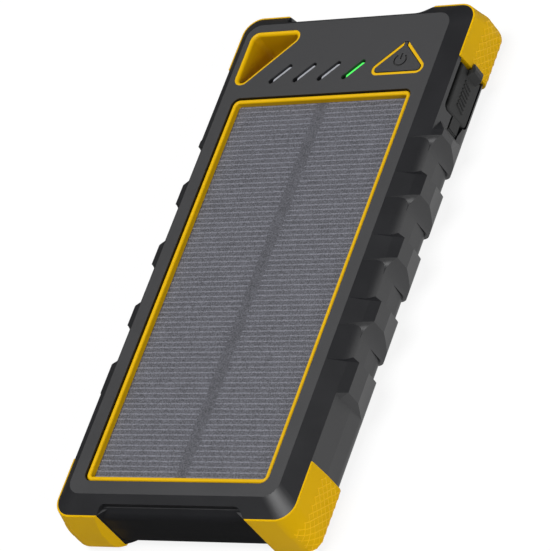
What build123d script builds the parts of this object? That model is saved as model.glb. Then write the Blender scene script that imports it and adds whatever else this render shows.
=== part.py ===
from build123d import *
import math
import os

# Rugged solar power bank. Sizes are in millimetres.
# +Z is the normal of the solar face, +X points to the output side and +Y to the end with
# the charge lights and the power button. The origin is the centre of the flat back.

# ---------------------------------------------------------------- driving sizes: housing
THICKNESS = 20.0            # flat back to solar face
SEAM_Z = 9.0                # height of the joint between the two shells
FACE_W = 71.9               # flat front face
FACE_L = 161.6
FACE_R = 4.5
BEVEL_X = 4.75              # sloped band round the face: reach on each side and end
BEVEL_Y = 5.0
BEVEL_DROP = 3.45
BEVEL_R = 5.5
FLARE_X = 0.6               # how far the sides and ends lean out from bevel to seam
FLARE_Y = 1.2
SIDE_R = 4.5
BACK_R = 4.0                # rounding of the back edge
FRONT_WALL = 2.2
BACK_WALL = 2.0
SIDE_WALL = 4.8             # outermost side to the cavity
END_WALL = 7.0
CAVITY_R = 4.0
LIP_T = 0.9                 # tongue of the front shell inside the rear shell
LIP_H = 1.0
LIP_GAP = 0.1

# ---------------------------------------------------------------- grip ribs on the long sides
RIB_OUT = 1.7               # a rib stands out from the side by this much
RIB_DROP = 5.56             # front corner of a rib below the face
RIB_BACK_IN = 1.0           # back end of a rib, in from the side
RIB_ROOT = 7.3              # depth at which a rib's block starts
RIB_COUNT = 3
RIB_PITCH = 21.1
RIB_LEN = 6.6
RIB_FIRST_Y = 24.0
RIB_RAMP = 1.7              # run of the ramp at the top of a rib, from rib to valley wall
RIB_SLANT = 2.2             # how far a rib's top leans down over the bevel
RIB_FALL = 4.4              # the same for its lower end
FOOT_RUN = 5.2              # length of the curved foot below a rib
END_RIB_Y = -34.8           # top of the long rib next to the lower bumpers
END_RIB_LEN = 9.7
END_RIB_RAMP = 2.6          # ramp at its lower end
PORT_RIB_LEN = 2.0
PORT_RIB_RAMP = 2.3         # ramp beside the port cover, from rib to side
VALLEY_IN = 1.0             # side wall between the ribs, in from the side
VALLEY_BACK_IN = 1.7
VALLEY_DROP = 4.14          # top of that wall below the face, before it is rounded
VALLEY_R = 5.0
VALLEY_LAP = 0.3            # how far the valley runs in under the rib beside the port

# ---------------------------------------------------------------- recess in each short end
END_CUT_TAPER = 1.4         # each side of the recess, from its mouth to the shelf
END_CUT_R = 2.5
TOP_CUT_DEPTH = 5.3         # from the upper end into the bevel
LOW_CUT_DEPTH = 3.9
END_WALL_IN = 1.6           # end wall, in from the end
END_LEAN = 0.2              # how far the end wall leans out at the seam
END_SHELF_DROP = 3.0        # shelf at the top of the end wall, below the face
END_SHELF = 0.3             # flat part of the shelf
END_SLOPE = 2.2
END_COVE_R = 3.5            # rounding between the slope and the end wall
END_RAMP = 3.2              # run of the ramps at both sides of the recess

# ---------------------------------------------------------------- corner bumpers
BUMPER_T = 1.6              # depth of its seat in the shells
BUMPER_OUT = 0.5            # how far a bumper stands out from the shells
BUMPER_BACK_R = 3.0
BUMPER_ALONG_SIDE = 19.5
BUMPER_ALONG_END = 16.0
BUMPER_END_T = 2.5          # part of the bumper's end that is cut away as a ramp
BUMPER_LIP = 5.0            # width of the lip on the back

# ---------------------------------------------------------------- window and solar panel
WINDOW_SIDE = 4.65          # edge of the flat face to the trim's outside, on each long side
WINDOW_TOP = 27.18          # the same at the upper end
WINDOW_LOW = 4.48           # and at the lower end
WINDOW_R = 2.2
TRIM_RIM = 1.34             # visible width of the trim
TRIM_SINK = 0.3             # trim below the face
TRIM_GAP = 0.4
TRIM_BEAD_R = 0.55          # rounding of the trim's top
TRIM_WALL = 0.6             # trim wall beside the panel
TRIM_FOOT = 1.2
TRIM_FOOT_T = 1.6
PANEL_SINK = 1.9            # panel below the top of the trim
PANEL_GAP = 0.1
COVER_T = 0.6
CELL_T = 0.3
CELL_COUNT = 12
CELL_GAP = 0.2
CELL_MARGIN = 1.2

# ---------------------------------------------------------------- lanyard hole
HOLE_SIDE = 1.85            # edge of the flat face to the outside of the liner
HOLE_TOP = 2.65
HOLE_W = 21.65              # the two straight legs of the triangle
HOLE_L = 23.8
HOLE_R = 2.8
LINER_T = 1.2
LINER_RIM_R = 0.95          # rounding of the rim towards the hole
LINER_EDGE_R = 0.2          # and towards the face
LINER_BACK_R = 0.5
LINER_FLANGE = 1.0
LINER_FLANGE_T = 1.0

# ---------------------------------------------------------------- charge lights
LIGHT_COUNT = 4
LIGHT_FROM_HOLE = 16.3      # liner's outside to the middle of the first slot
LIGHT_TO_BUTTON = 3.55      # middle of the last slot to the button's corner
LIGHT_DOWN = 18.7           # end of the flat face to the lights
LIGHT_ANGLE = 46.0
SLOT_LEN = 8.8              # recess in the face
SLOT_W = 1.75
SLOT_DEPTH = 1.3
PIPE_L = 7.0                # light bar in the recess
PIPE_SHIFT = 0.3            # bar's middle from the recess's middle
PIPE_GAP = 0.1
PIPE_SINK = 0.8
PIPE_FOOT = 0.8
PIPE_FOOT_T = 0.8
LED_L = 1.6
LED_W = 0.8
LED_T = 0.7
LED_GAP = 0.2

# ---------------------------------------------------------------- power button
BUTTON_SIDE = 12.35         # edge of the flat face to the middle of the triangle
BUTTON_DOWN = 21.4          # end of the flat face to its base line
BUTTON_HALF = 11.9
BUTTON_H = 12.35
BUTTON_R = 2.2
RING_W = 0.9
RING_SINK = 0.15
RING_GAP = 0.04             # ring to the opening's wall
RING_FOOT = 0.9
RING_FOOT_T = 0.8
RING_MOUTH = 1.5            # opening between the ends of the ring at the face
BUTTON_GAP = 0.22
BUTTON_T = 1.7
NECK_W = 1.0                # the key's neck between the ends of the ring
NECK_L = 3.0
ARM_W = 2.6                 # hinge arm that passes under the ends of the ring
ARM_T = 0.8
ARM_GAP = 0.12              # clearance above and below the arm
ARM_LAP = 1.0               # arm's overlap with the key
BARREL_DROP = 1.5           # hinge axis below the face
BARREL_IN = 0.1             # hinge axis from the tip of the triangle
BARREL_R = 0.6              # snap-in hinge barrel at the end of the arm
BARREL_GAP = 0.06
HINGE_WALL = 1.2            # block under the face round the barrel
HINGE_BLOCK_T = 0.9
HINGE_BLOCK_L = 2.1
POST_R = 1.2                # post under the button, over the switch
POST_UP = 5.1               # above the triangle's base line
POST_GAP = 0.08
SWITCH_W = 6.0
SWITCH_H = 3.4
STEM_R = 1.6
STEM_OUT = 0.8
STEM_IN = 1.0
STEM_GAP = 0.05
STEM_TRAVEL = 0.3

# ---------------------------------------------------------------- ports and their covers
PORT_RECESS_L = 17.3        # from the bumper's edge
PORT_RECESS_TOP = 4.8       # recess below the face
PORT_RECESS_H = 12.3
PORT_RECESS_DEPTH = 2.2
PORT_RECESS_R = 2.0
COVER_GAP_TOP = 0.9         # finger gap along the front edge of a port cover
COVER_GAP = 0.3
COVER_END_GAP = 0.8
COVER_PLATE_T = 1.6
COVER_SET = 0.1             # outer face of the cover, in from the side
COVER_R = 1.8
COVER_EDGE_R = 0.85         # rounding of the cover's outer edges
PORT_Z = 8.1                # height of socket, strap and tab
STRAP_L = 3.5               # recess end to hinge axis
STRAP_W = 4.2
STRAP_SET = 0.15            # outer face of the strap below the cover's
STRAP_UNDER = 0.3           # inner face of the strap below the hinge axis
STRAP_GAP = 0.3
STRAP_GAP_FRONT = 0.85      # slot along the front edge of the strap
STRAP_WEDGE = 1.4           # the slot behind the strap widens to this at the cover
KNUCKLE_DEPTH = 1.1         # hinge axis below the cover's outer face
KNUCKLE_R = 0.8
KNUCKLE_GAP = 0.08
KNUCKLE_TO_RIB = 1.25
TAB_L = 4.2
TAB_W = 5.2
TAB_OVER = 1.9              # tab reaches past the end of the cover
TAB_LIFT = 0.25             # clearance of the tab over the bumper
TAB_NOSE = 1.5              # length of the slopes at both ends of the tab
TAB_DROP = 0.5              # tab's far end below its ridge
TAB_R = 0.45
PLUG_DEPTH = 1.5
PLUG_GAP = 0.6
PLUG_EDGE = 0.3
PORT_SET = 0.7              # mouth of a socket, inside the wall's outer face of the cavity
USB_W = 13.1
USB_H = 5.7
USB_L = 14.0
USB_T = 0.35
USB_TONGUE_W = 11.1
USB_TONGUE_T = 1.9
USB_TONGUE_L = 9.0
PORT_CLEAR = 0.25
MICRO_W = 7.6
MICRO_H = 2.8
MICRO_L = 5.6
MICRO_T = 0.3
MICRO_TONGUE_W = 5.2
MICRO_TONGUE_T = 0.7
MICRO_TONGUE_L = 4.0
MICRO_SHIFT = -4.0          # input socket from the middle of its cover

# ---------------------------------------------------------------- circuit board
BOARD_T = 1.2
BOARD_EDGE = 0.5            # board to cavity wall
BOARD_START = 8.5           # board's lower edge below the output socket's middle
BOARD_TOP_IN = 5.7
BOARD_CLEAR = 1.6           # board to lanyard liner
BOARD_SCREW_HEAD_R = 1.7
BOARD_SCREW_HEAD_T = 1.0
BOARD_SCREW_R = 0.8
BOARD_SCREW_L = 4.0
BOARD_BOSS_R = 2.0
BOARD_SCREW_UP = 9.5        # upper screws above the charge lights
BOARD_SCREW_SHIFT = 2.5     # left screw from the upper screw of the housing
BOARD_SCREW_IN = 4.0        # right screw from the cavity wall
BOARD_SCREW_ON = 3.65       # lower screw past the last light
BOSS_GAP = 0.3              # board to the screw posts
HOLE_TURN = 1.4             # share of the hole's corner radius at which the board turns
LINER_PASS = 0.5            # board to liner flange, on top of the clearance
COIL_X = 4.0
COIL_W = 7.0
COIL_H = 3.0
CHIP_W = 5.0
CHIP_H = 0.9
CHIP_GAP = 2.0
CHIP_COUNT = 2
CAP_R = 1.5
CAP_H = 2.4
CAP_GAP = 1.0
CAP_COUNT = 3

# ---------------------------------------------------------------- battery
PACK_SIDE = 0.2             # panel's edge to the pack, on each side
PACK_END_GAP = 1.5          # pack to the cavity's end
PACK_BOARD_GAP = 10.6       # pack to the board's edge, with room for the leads
PACK_PAD_T = 0.4
PACK_TAPE_T = 0.2
PACK_TOP_PAD_T = 1.0
PACK_R = 1.4
TERRACE_L = 3.0             # folded seal at the terminal end of a cell
TERRACE_T = 1.0
GUARD_W = 40.0              # protection board on the upper cell's seal
GUARD_L = 2.8
GUARD_T = 0.8
LEAD_R = 0.6
LEAD_BEND = 2.0
LEAD_PITCH = 3.0
LEAD_COUNT = 2
LEAD_START = 1.0            # lead's start from the end of the cells
LEAD_RUN = 3.0              # straight length before it bends
LEAD_DIP = 1.0              # bend's end below the board's edge
LEAD_LAND = 3.5             # lead's length on the board
SOLAR_LEAD_IN = 12.8        # panel's edge to its first lead
SOLAR_LEAD_START = 7.0      # start of a panel lead below the board's edge
SOLAR_LEAD_RUN = 4.0
SOLAR_LEAD_LIFT = 1.0       # its bend ends this far above that edge
GUARD_GAP = 0.1

# ---------------------------------------------------------------- screws
BOSS_R = 2.6
BOSS_INSET = 2.5
BOSS_TOP = 7.0              # boss of the front shell above the seam
SCREW_R = 1.0
SCREW_CLEAR = 0.2
SCREW_HEAD_R = 2.0
SCREW_HEAD_T = 1.1
SCREW_SINK = 0.3
SCREW_REACH = 5.0           # screw above the seam
SCREW_END_GAP = 0.5         # hole beyond the end of a screw
MID_SCREW_Y = -15.0
TOP_SCREW_PAST = 2.45       # past the corner of the lanyard hole

# ---------------------------------------------------------------- worked out from the above
CUT = 1.0                   # how far a cutting body reaches past the surface it cuts
EDGE_Z = THICKNESS - BEVEL_DROP
EDGE_W = FACE_W + 2 * BEVEL_X
EDGE_L = FACE_L + 2 * BEVEL_Y
BODY_W = EDGE_W + 2 * FLARE_X
BODY_L = EDGE_L + 2 * FLARE_Y
SIDE_X = BODY_W / 2
END_Y = BODY_L / 2
CAVITY_W = BODY_W - 2 * SIDE_WALL
CAVITY_L = BODY_L - 2 * END_WALL
CEILING_Z = THICKNESS - FRONT_WALL
WINDOW_W = FACE_W - 2 * WINDOW_SIDE
WINDOW_L = FACE_L - WINDOW_TOP - WINDOW_LOW
WINDOW_Y = (WINDOW_LOW - WINDOW_TOP) / 2
WINDOW_END_Y = FACE_L / 2 - WINDOW_TOP
HOLE_LEFT_X = HOLE_SIDE - FACE_W / 2
HOLE_TOP_Y = FACE_L / 2 - HOLE_TOP
BUTTON_X = FACE_W / 2 - BUTTON_SIDE
BUTTON_Y = FACE_L / 2 - BUTTON_DOWN
POST_Y = BUTTON_Y + POST_UP
LIGHT_X = HOLE_LEFT_X + LIGHT_FROM_HOLE
LIGHT_END_X = BUTTON_X - BUTTON_HALF - LIGHT_TO_BUTTON
LIGHT_Y = FACE_L / 2 - LIGHT_DOWN
LIGHT_PITCH = (LIGHT_END_X - LIGHT_X) / (LIGHT_COUNT - 1)
TOP_SCREW_X = HOLE_LEFT_X + HOLE_W + TOP_SCREW_PAST

RIB_X = SIDE_X + RIB_OUT
ROOT_X = SIDE_X - RIB_ROOT
WALL_X = SIDE_X - VALLEY_IN
BUMPER_Y = END_Y - BUMPER_ALONG_SIDE
BUMPER_X = SIDE_X - BUMPER_ALONG_END
RAMP_X = BUMPER_X + BUMPER_END_T
RAMP_Y = END_Y + BUMPER_OUT
FAR_X = RIB_X + CUT
FAR_Y = RAMP_Y + CUT

RECESS_Y0 = BUMPER_Y - PORT_RECESS_L
RECESS_Z1 = THICKNESS - PORT_RECESS_TOP
RECESS_Z0 = RECESS_Z1 - PORT_RECESS_H
RECESS_X = SIDE_X - PORT_RECESS_DEPTH
COVER_X1 = SIDE_X - COVER_SET
COVER_X0 = COVER_X1 - COVER_PLATE_T
COVER_Y0 = RECESS_Y0 + COVER_GAP
COVER_Y1 = BUMPER_Y - COVER_END_GAP
COVER_Z0 = RECESS_Z0 + COVER_GAP
COVER_Z1 = RECESS_Z1 - COVER_GAP_TOP
PORT_Y = (COVER_Y0 + COVER_Y1) / 2
HINGE_Y = RECESS_Y0 - STRAP_L
HINGE_X = COVER_X1 - KNUCKLE_DEPTH
STRAP_X1 = COVER_X1 - STRAP_SET
STRAP_Z0 = PORT_Z - STRAP_W / 2
STRAP_Z1 = PORT_Z + STRAP_W / 2
PORT_RIB_Y = HINGE_Y - KNUCKLE_TO_RIB - PORT_RIB_RAMP

BOARD_Y0 = PORT_Y - BOARD_START
BOARD_Z0 = PORT_Z + USB_H / 2
BOARD_Z1 = BOARD_Z0 + BOARD_T
MICRO_Z = BOARD_Z0 - MICRO_H / 2
MICRO_Y = PORT_Y + MICRO_SHIFT
SOCKET_X = CAVITY_W / 2 + PORT_SET

TRIM_Z1 = THICKNESS - TRIM_SINK
PANEL_Z1 = TRIM_Z1 - PANEL_SINK
PANEL_W = WINDOW_W - 2 * TRIM_WALL - 2 * PANEL_GAP
PANEL_L = WINDOW_L - 2 * TRIM_WALL - 2 * PANEL_GAP
CELL_Z1 = PANEL_Z1 - COVER_T
CELL_Z0 = CELL_Z1 - CELL_T
TRIM_Z0 = CEILING_Z - TRIM_FOOT_T

BARREL_Z = THICKNESS - BARREL_DROP
BARREL_Y = BUTTON_Y + BUTTON_H - BARREL_IN
MOUTH_Y = BARREL_Y - BARREL_R
BUTTON_Z0 = THICKNESS - BUTTON_T
SWITCH_Z1 = BOARD_Z1 + SWITCH_H
STEM_Z1 = SWITCH_Z1 + STEM_OUT

PACK_Z0 = BACK_WALL + PACK_PAD_T
PACK_Z1 = TRIM_Z0 - PACK_TOP_PAD_T
PACK_CELL_T = (PACK_Z1 - PACK_Z0 - PACK_TAPE_T) / 2
PACK_W = PANEL_W - 2 * PACK_SIDE
PACK_LOW_Y = PACK_END_GAP - CAVITY_L / 2
PACK_TOP_Y = BOARD_Y0 - PACK_BOARD_GAP

SCREW_SPOTS = [
    (CAVITY_W / 2 - BOSS_INSET, CAVITY_L / 2 - BOSS_INSET),
    (TOP_SCREW_X, CAVITY_L / 2 - BOSS_INSET),
    (CAVITY_W / 2 - BOSS_INSET, MID_SCREW_Y),
    (BOSS_INSET - CAVITY_W / 2, MID_SCREW_Y),
    (CAVITY_W / 2 - BOSS_INSET, BOSS_INSET - CAVITY_L / 2),
    (BOSS_INSET - CAVITY_W / 2, BOSS_INSET - CAVITY_L / 2),
]
BOARD_SCREW_SPOTS = [
    (TOP_SCREW_X + BOARD_SCREW_SHIFT, LIGHT_Y + BOARD_SCREW_UP),
    (CAVITY_W / 2 - BOARD_SCREW_IN, LIGHT_Y + BOARD_SCREW_UP),
    (LIGHT_END_X + BOARD_SCREW_ON, WINDOW_END_Y + TRIM_FOOT + BOARD_BOSS_R + BOSS_GAP),
]
LIGHT_SPOTS = [(LIGHT_X + i * LIGHT_PITCH, LIGHT_Y) for i in range(LIGHT_COUNT)]
PIPE_DX = PIPE_SHIFT * math.cos(math.radians(LIGHT_ANGLE))
PIPE_DY = PIPE_SHIFT * math.sin(math.radians(LIGHT_ANGLE))


# ---------------------------------------------------------------- helpers
def block(x0, x1, y0, y1, z0, z1):
    """Box between two corners."""
    return Pos(x0, y0, z0) * Box(x1 - x0, y1 - y0, z1 - z0, align=(Align.MIN,) * 3)


def rod(x, y, z0, z1, radius):
    """Upright cylinder from z0 to z1."""
    place = Pos(x, y, z0)
    return place * Cylinder(radius, z1 - z0, align=(Align.CENTER, Align.CENTER, Align.MIN))


def plan(width, length, radius, z):
    """Rounded rectangle at height z, centred on the origin."""
    return Plane.XY.offset(z) * RectangleRounded(width, length, radius)


def slab(width, length, radius, z0, z1, y=0.0):
    """Rounded rectangular plate from z0 to z1."""
    return Pos(0, y, 0) * extrude(plan(width, length, radius, z0), z1 - z0, dir=(0, 0, 1))


def prism(outline, z0, z1):
    """Flat outline raised from z0 to z1."""
    return extrude(Plane.XY.offset(z0) * outline, z1 - z0, dir=(0, 0, 1))


def along_y(points, rounded, y0, y1):
    """Prism along Y from (x, z) points; rounded maps a point's index to its radius."""
    outline = Polygon(*points, align=None)
    for index, radius in rounded.items():
        corner = outline.vertices().sort_by_distance(Vector(*points[index], 0))[0]
        outline = fillet(corner, radius)
    place = Plane((0, y0, 0), x_dir=(1, 0, 0), z_dir=(0, -1, 0))
    return extrude(place * outline, y1 - y0, dir=(0, 1, 0))


def along_x(points, rounded, x0, x1):
    """Prism along X from (y, z) points; rounded as in along_y."""
    outline = Polygon(*points, align=None)
    for index, radius in rounded.items():
        corner = outline.vertices().sort_by_distance(Vector(*points[index], 0))[0]
        outline = fillet(corner, radius)
    place = Plane((x0, 0, 0), x_dir=(0, 1, 0), z_dir=(1, 0, 0))
    return extrude(place * outline, x1 - x0, dir=(1, 0, 0))


def mirrored(shape):
    """The same shape on the other long side."""
    return mirror(shape, about=Plane.YZ)


def flipped(shape):
    """The same shape at the other short end."""
    return mirror(shape, about=Plane.XZ)


def join(shapes):
    """All shapes fused into one."""
    result = shapes[0]
    for shape in shapes[1:]:
        result = result + shape
    return result


def write(shape, name):
    export_step(shape, f"parts/{name}.step")


def group(shapes):
    """Separate solids kept together in one node."""
    solids = [solid for shape in shapes for solid in shape.solids()]
    return Compound(children=solids)


# ---------------------------------------------------------------- housing form
def skirt(inset, back_radius):
    """Sides and back of the housing below the bevel, moved in by inset all round."""
    width = BODY_W - 2 * inset
    length = BODY_L - 2 * inset
    edge = plan(EDGE_W - 2 * inset, EDGE_L - 2 * inset, BEVEL_R - inset, EDGE_Z)
    upper = loft([plan(width, length, SIDE_R - inset, SEAM_Z), edge], ruled=True)
    lower = slab(width, length, SIDE_R - inset, max(inset, 0), SEAM_Z)
    lower = fillet(lower.faces().sort_by(Axis.Z)[0].edges(), back_radius)
    return upper + lower


def bevel():
    """Sloped band and the flat front face."""
    edge = plan(EDGE_W, EDGE_L, BEVEL_R, EDGE_Z)
    return loft([edge, plan(FACE_W, FACE_L, FACE_R, THICKNESS)], ruled=True)


def valley_cut():
    """What is scooped out of the right-hand side between its first and last rib."""
    y0 = END_RIB_Y - END_RIB_LEN / 2
    y1 = PORT_RIB_Y - RIB_SLANT - VALLEY_LAP
    section = [(0, 0), (SIDE_X - VALLEY_BACK_IN, 0), (WALL_X, SEAM_Z),
               (WALL_X, THICKNESS - VALLEY_DROP), (FACE_W / 2, THICKNESS), (0, THICKNESS)]
    core = along_y(section, {1: BACK_R, 3: VALLEY_R}, y0, y1)
    return block(ROOT_X, RIB_X + CUT, y0, y1, -CUT, THICKNESS + CUT) - core


def leaning(outline, lean):
    """Prism that stands upright beside a rib and leans in and down over its sloped front."""
    corner_z = THICKNESS - RIB_DROP
    over = Vector(FACE_W / 2 - RIB_X, -lean, RIB_DROP)
    upper = extrude(Plane.XY.offset(corner_z) * outline, over.length + CUT, dir=over)
    return prism(outline, -CUT, corner_z) + upper


def rib(y_top, length, slope, low_slope=None):
    """Grip rib on the right-hand side, with a ramp on top and a foot or a ramp below."""
    y_low = y_top - length
    far_y = y_low - FOOT_RUN - RIB_FALL
    section = [(ROOT_X, 0), (SIDE_X - RIB_BACK_IN, 0), (RIB_X, SEAM_Z),
               (RIB_X, THICKNESS - RIB_DROP), (EDGE_W / 2, EDGE_Z),
               (FACE_W / 2, THICKNESS), (ROOT_X, THICKNESS)]
    body = along_y(section, {1: BACK_R}, far_y - CUT, y_top + slope * (RIB_X - ROOT_X))
    inner, outer = ROOT_X - CUT, RIB_X + 2 * CUT
    upper = Polygon((inner, far_y - 2 * CUT), (outer, far_y - 2 * CUT),
                    (outer, y_top - slope * (outer - RIB_X)),
                    (inner, y_top + slope * (RIB_X - inner)), align=None)
    if low_slope is None:
        return body & leaning(upper, RIB_SLANT) & leaning(above_foot(y_low), RIB_FALL)
    high_y = y_low + 2 * length + RIB_FALL + slope * RIB_ROOT * 2
    lower = Polygon((inner, high_y), (outer, high_y), (outer, y_low + low_slope * (outer - RIB_X)),
                    (inner, y_low - low_slope * (RIB_X - inner)), align=None)
    return body & leaning(upper, RIB_SLANT) & leaning(lower, RIB_FALL)


def above_foot(y_low):
    """Outline above the curved foot that runs from a rib's lower end to the valley wall."""
    rise = RIB_X - WALL_X
    radius = (rise ** 2 + FOOT_RUN ** 2) / (2 * rise)
    foot_y = y_low - FOOT_RUN
    inner, outer = ROOT_X - CUT, RIB_X + 2 * CUT
    outline = Pos(inner, foot_y) * Rectangle(outer - inner, 6 * FOOT_RUN, align=(Align.MIN,) * 2)
    return outline - Pos(WALL_X + radius, foot_y) * Circle(radius)


def side_ribs():
    """All ribs of the right-hand side."""
    rise = RIB_X - WALL_X
    ribs = [rib(PORT_RIB_Y, PORT_RIB_LEN, PORT_RIB_RAMP / RIB_OUT)]
    for i in range(RIB_COUNT):
        ribs.append(rib(RIB_FIRST_Y + RIB_LEN / 2 - i * RIB_PITCH, RIB_LEN, RIB_RAMP / rise))
    ribs.append(rib(END_RIB_Y, END_RIB_LEN, RIB_RAMP / rise, END_RIB_RAMP / rise))
    return ribs


def end_ramps():
    """What is cut off beside the upper short end, between the ramps of its two bumpers."""
    fall = END_WALL_IN + BUMPER_OUT
    out_x, out_y = RAMP_X + END_RAMP, RAMP_Y + fall
    in_x, in_y = RAMP_X - 3 * END_RAMP, RAMP_Y - 3 * fall
    outline = Polygon((out_x, out_y), (in_x, in_y), (-in_x, in_y), (-out_x, out_y), align=None)
    return prism(outline, -CUT, EDGE_Z)


def end_cut(depth):
    """Recess between the bumpers at the upper short end."""
    wall_y = END_Y - END_WALL_IN
    shelf_z = THICKNESS - END_SHELF_DROP
    shelf_y = END_Y - depth
    section = [(0, 0), (wall_y, 0), (wall_y + END_LEAN, SEAM_Z), (wall_y, shelf_z - END_SLOPE),
               (shelf_y + END_SHELF, shelf_z), (0, shelf_z)]
    core = along_x(section, {1: BACK_R, 3: END_COVE_R}, -SIDE_X, SIDE_X)
    edge_y = EDGE_L / 2
    edge_x = RAMP_X - END_RAMP * (RAMP_Y - edge_y) / (END_WALL_IN + BUMPER_OUT)
    shelf_x = edge_x - END_CUT_TAPER
    upper = Polygon((edge_x, END_Y + CUT), (edge_x, edge_y), (shelf_x, shelf_y),
                    (-shelf_x, shelf_y), (-edge_x, edge_y), (-edge_x, END_Y + CUT), align=None)
    corners = upper.vertices().group_by(Axis.Y)[0]
    upper = prism(fillet(corners, END_CUT_R), EDGE_Z, THICKNESS + CUT)
    return (upper + end_ramps()) - core


def port_recess():
    """Recess for the port cover on the right-hand side, with the strap's channel."""
    pocket = block(RECESS_X, RIB_X + CUT, RECESS_Y0, BUMPER_Y, RECESS_Z0, RECESS_Z1)
    low = [e for e in pocket.edges().filter_by(Axis.X) if e.center().Y < PORT_Y]
    pocket = fillet(low, PORT_RECESS_R)
    z0 = STRAP_Z0 - STRAP_GAP
    z1 = STRAP_Z1 + STRAP_GAP_FRONT
    far_y = RECESS_Y0 + PORT_RECESS_R
    seat_r = KNUCKLE_R + KNUCKLE_GAP
    sides = [(HINGE_Y, z0), (RECESS_Y0, STRAP_Z0 - STRAP_WEDGE), (far_y, STRAP_Z0 - STRAP_WEDGE),
             (far_y, z1), (HINGE_Y, z1)]
    channel = along_x(sides, {}, HINGE_X - seat_r, RIB_X + CUT)
    seat = rod(HINGE_X, HINGE_Y, z0, z1, seat_r)
    swing = STRAP_X1 - HINGE_X + STRAP_GAP
    swing_cut = block(HINGE_X - STRAP_UNDER, RIB_X + CUT, HINGE_Y - swing, HINGE_Y, z0, z1)
    return pocket + channel + seat + swing_cut


def housing():
    """Outer form of the closed housing, with bumpers still part of it."""
    form = skirt(0, BACK_R) + bevel()
    scoop = valley_cut()
    form = form - scoop - mirrored(scoop)
    ribs = join(side_ribs())
    form = form + ribs + mirrored(ribs)
    return form - end_cut(TOP_CUT_DEPTH) - flipped(end_cut(LOW_CUT_DEPTH))


def bumper():
    """Upper right corner bumper, a cap over the corner of both shells."""
    shell = skirt(-BUMPER_OUT, BUMPER_BACK_R) - skirt(BUMPER_T, BACK_R - BUMPER_T)
    shell = shell & block(BUMPER_X, RIB_X, BUMPER_Y, END_Y + CUT, -CUT, EDGE_Z)
    width = BODY_W - 2 * BUMPER_LIP
    length = BODY_L - 2 * BUMPER_LIP
    return shell - slab(width, length, SIDE_R / 2, -CUT, BUMPER_T + CUT) - end_ramps()


def hole_outline(inset):
    """Triangle of the lanyard hole."""
    corner = (HOLE_LEFT_X, HOLE_TOP_Y)
    right = (HOLE_LEFT_X + HOLE_W, HOLE_TOP_Y)
    low = (HOLE_LEFT_X, HOLE_TOP_Y - HOLE_L)
    shape = Polygon(corner, low, right, align=None)
    shape = fillet(shape.vertices(), HOLE_R)
    return offset(shape, amount=-inset) if inset else shape


def button_outline(inset):
    """Triangle of the power button, measured at the outside of its ring."""
    left = (BUTTON_X - BUTTON_HALF, BUTTON_Y)
    right = (BUTTON_X + BUTTON_HALF, BUTTON_Y)
    tip = (BUTTON_X, BUTTON_Y + BUTTON_H)
    shape = Polygon(left, right, tip, align=None)
    low = [v for v in shape.vertices() if v.Y < BUTTON_Y + CUT]
    shape = fillet(low, BUTTON_R)
    return offset(shape, amount=-inset, kind=Kind.INTERSECTION) if inset else shape


def slot_at(spot, length, width):
    """Slanted slot outline at a charge light."""
    return Pos(*spot) * Rot(0, 0, LIGHT_ANGLE) * SlotOverall(length, width)


def pipe_at(spot, length, width):
    """The same for the light bar, which sits a little off the slot's middle."""
    return slot_at((spot[0] + PIPE_DX, spot[1] + PIPE_DY), length, width)


# ---------------------------------------------------------------- shells
def port_openings(cover_side):
    """Hole in the wall for the socket on one side."""
    if cover_side > 0:
        y, z, width, height = PORT_Y, PORT_Z, USB_W, USB_H
    else:
        y, z, width, height = MICRO_Y, MICRO_Z, MICRO_W, MICRO_H
    hole = block(CAVITY_W / 2 - CUT, SIDE_X, y - width / 2 - PORT_CLEAR, y + width / 2 + PORT_CLEAR,
                 z - height / 2 - PORT_CLEAR, z + height / 2 + PORT_CLEAR)
    return hole if cover_side > 0 else mirrored(hole)


def button_seat(shell):
    """Shell with the button's opening and the seat of its hinge barrel under the face."""
    half = ARM_W / 2 + BUTTON_GAP
    wall = ARM_W / 2 + HINGE_WALL
    slot_z0 = BARREL_Z - ARM_T / 2 - ARM_GAP
    slot_z1 = BARREL_Z + ARM_T / 2 + ARM_GAP
    support = block(BUTTON_X - wall, BUTTON_X + wall, MOUTH_Y, MOUTH_Y + HINGE_BLOCK_L,
                    CEILING_Z - HINGE_BLOCK_T, CEILING_Z)
    below = block(BUTTON_X - BUTTON_HALF, BUTTON_X + BUTTON_HALF, BUTTON_Y - CUT, MOUTH_Y,
                  CEILING_Z - CUT, THICKNESS + CUT)
    opening = prism(button_outline(0), CEILING_Z - CUT, THICKNESS + CUT) & below
    slot_y = MOUTH_Y - HINGE_BLOCK_L
    slot = block(BUTTON_X - half, BUTTON_X + half, slot_y, BARREL_Y, slot_z0, slot_z1)
    mouth = block(BUTTON_X - half, BUTTON_X + half, slot_y, MOUTH_Y, CEILING_Z - CUT, slot_z1)
    seat = Pos(BUTTON_X, BARREL_Y, BARREL_Z) * Rot(0, 90, 0)
    seat = seat * Cylinder(BARREL_R + BARREL_GAP, 2 * half)
    return shell + support - opening - slot - mouth - seat


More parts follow.
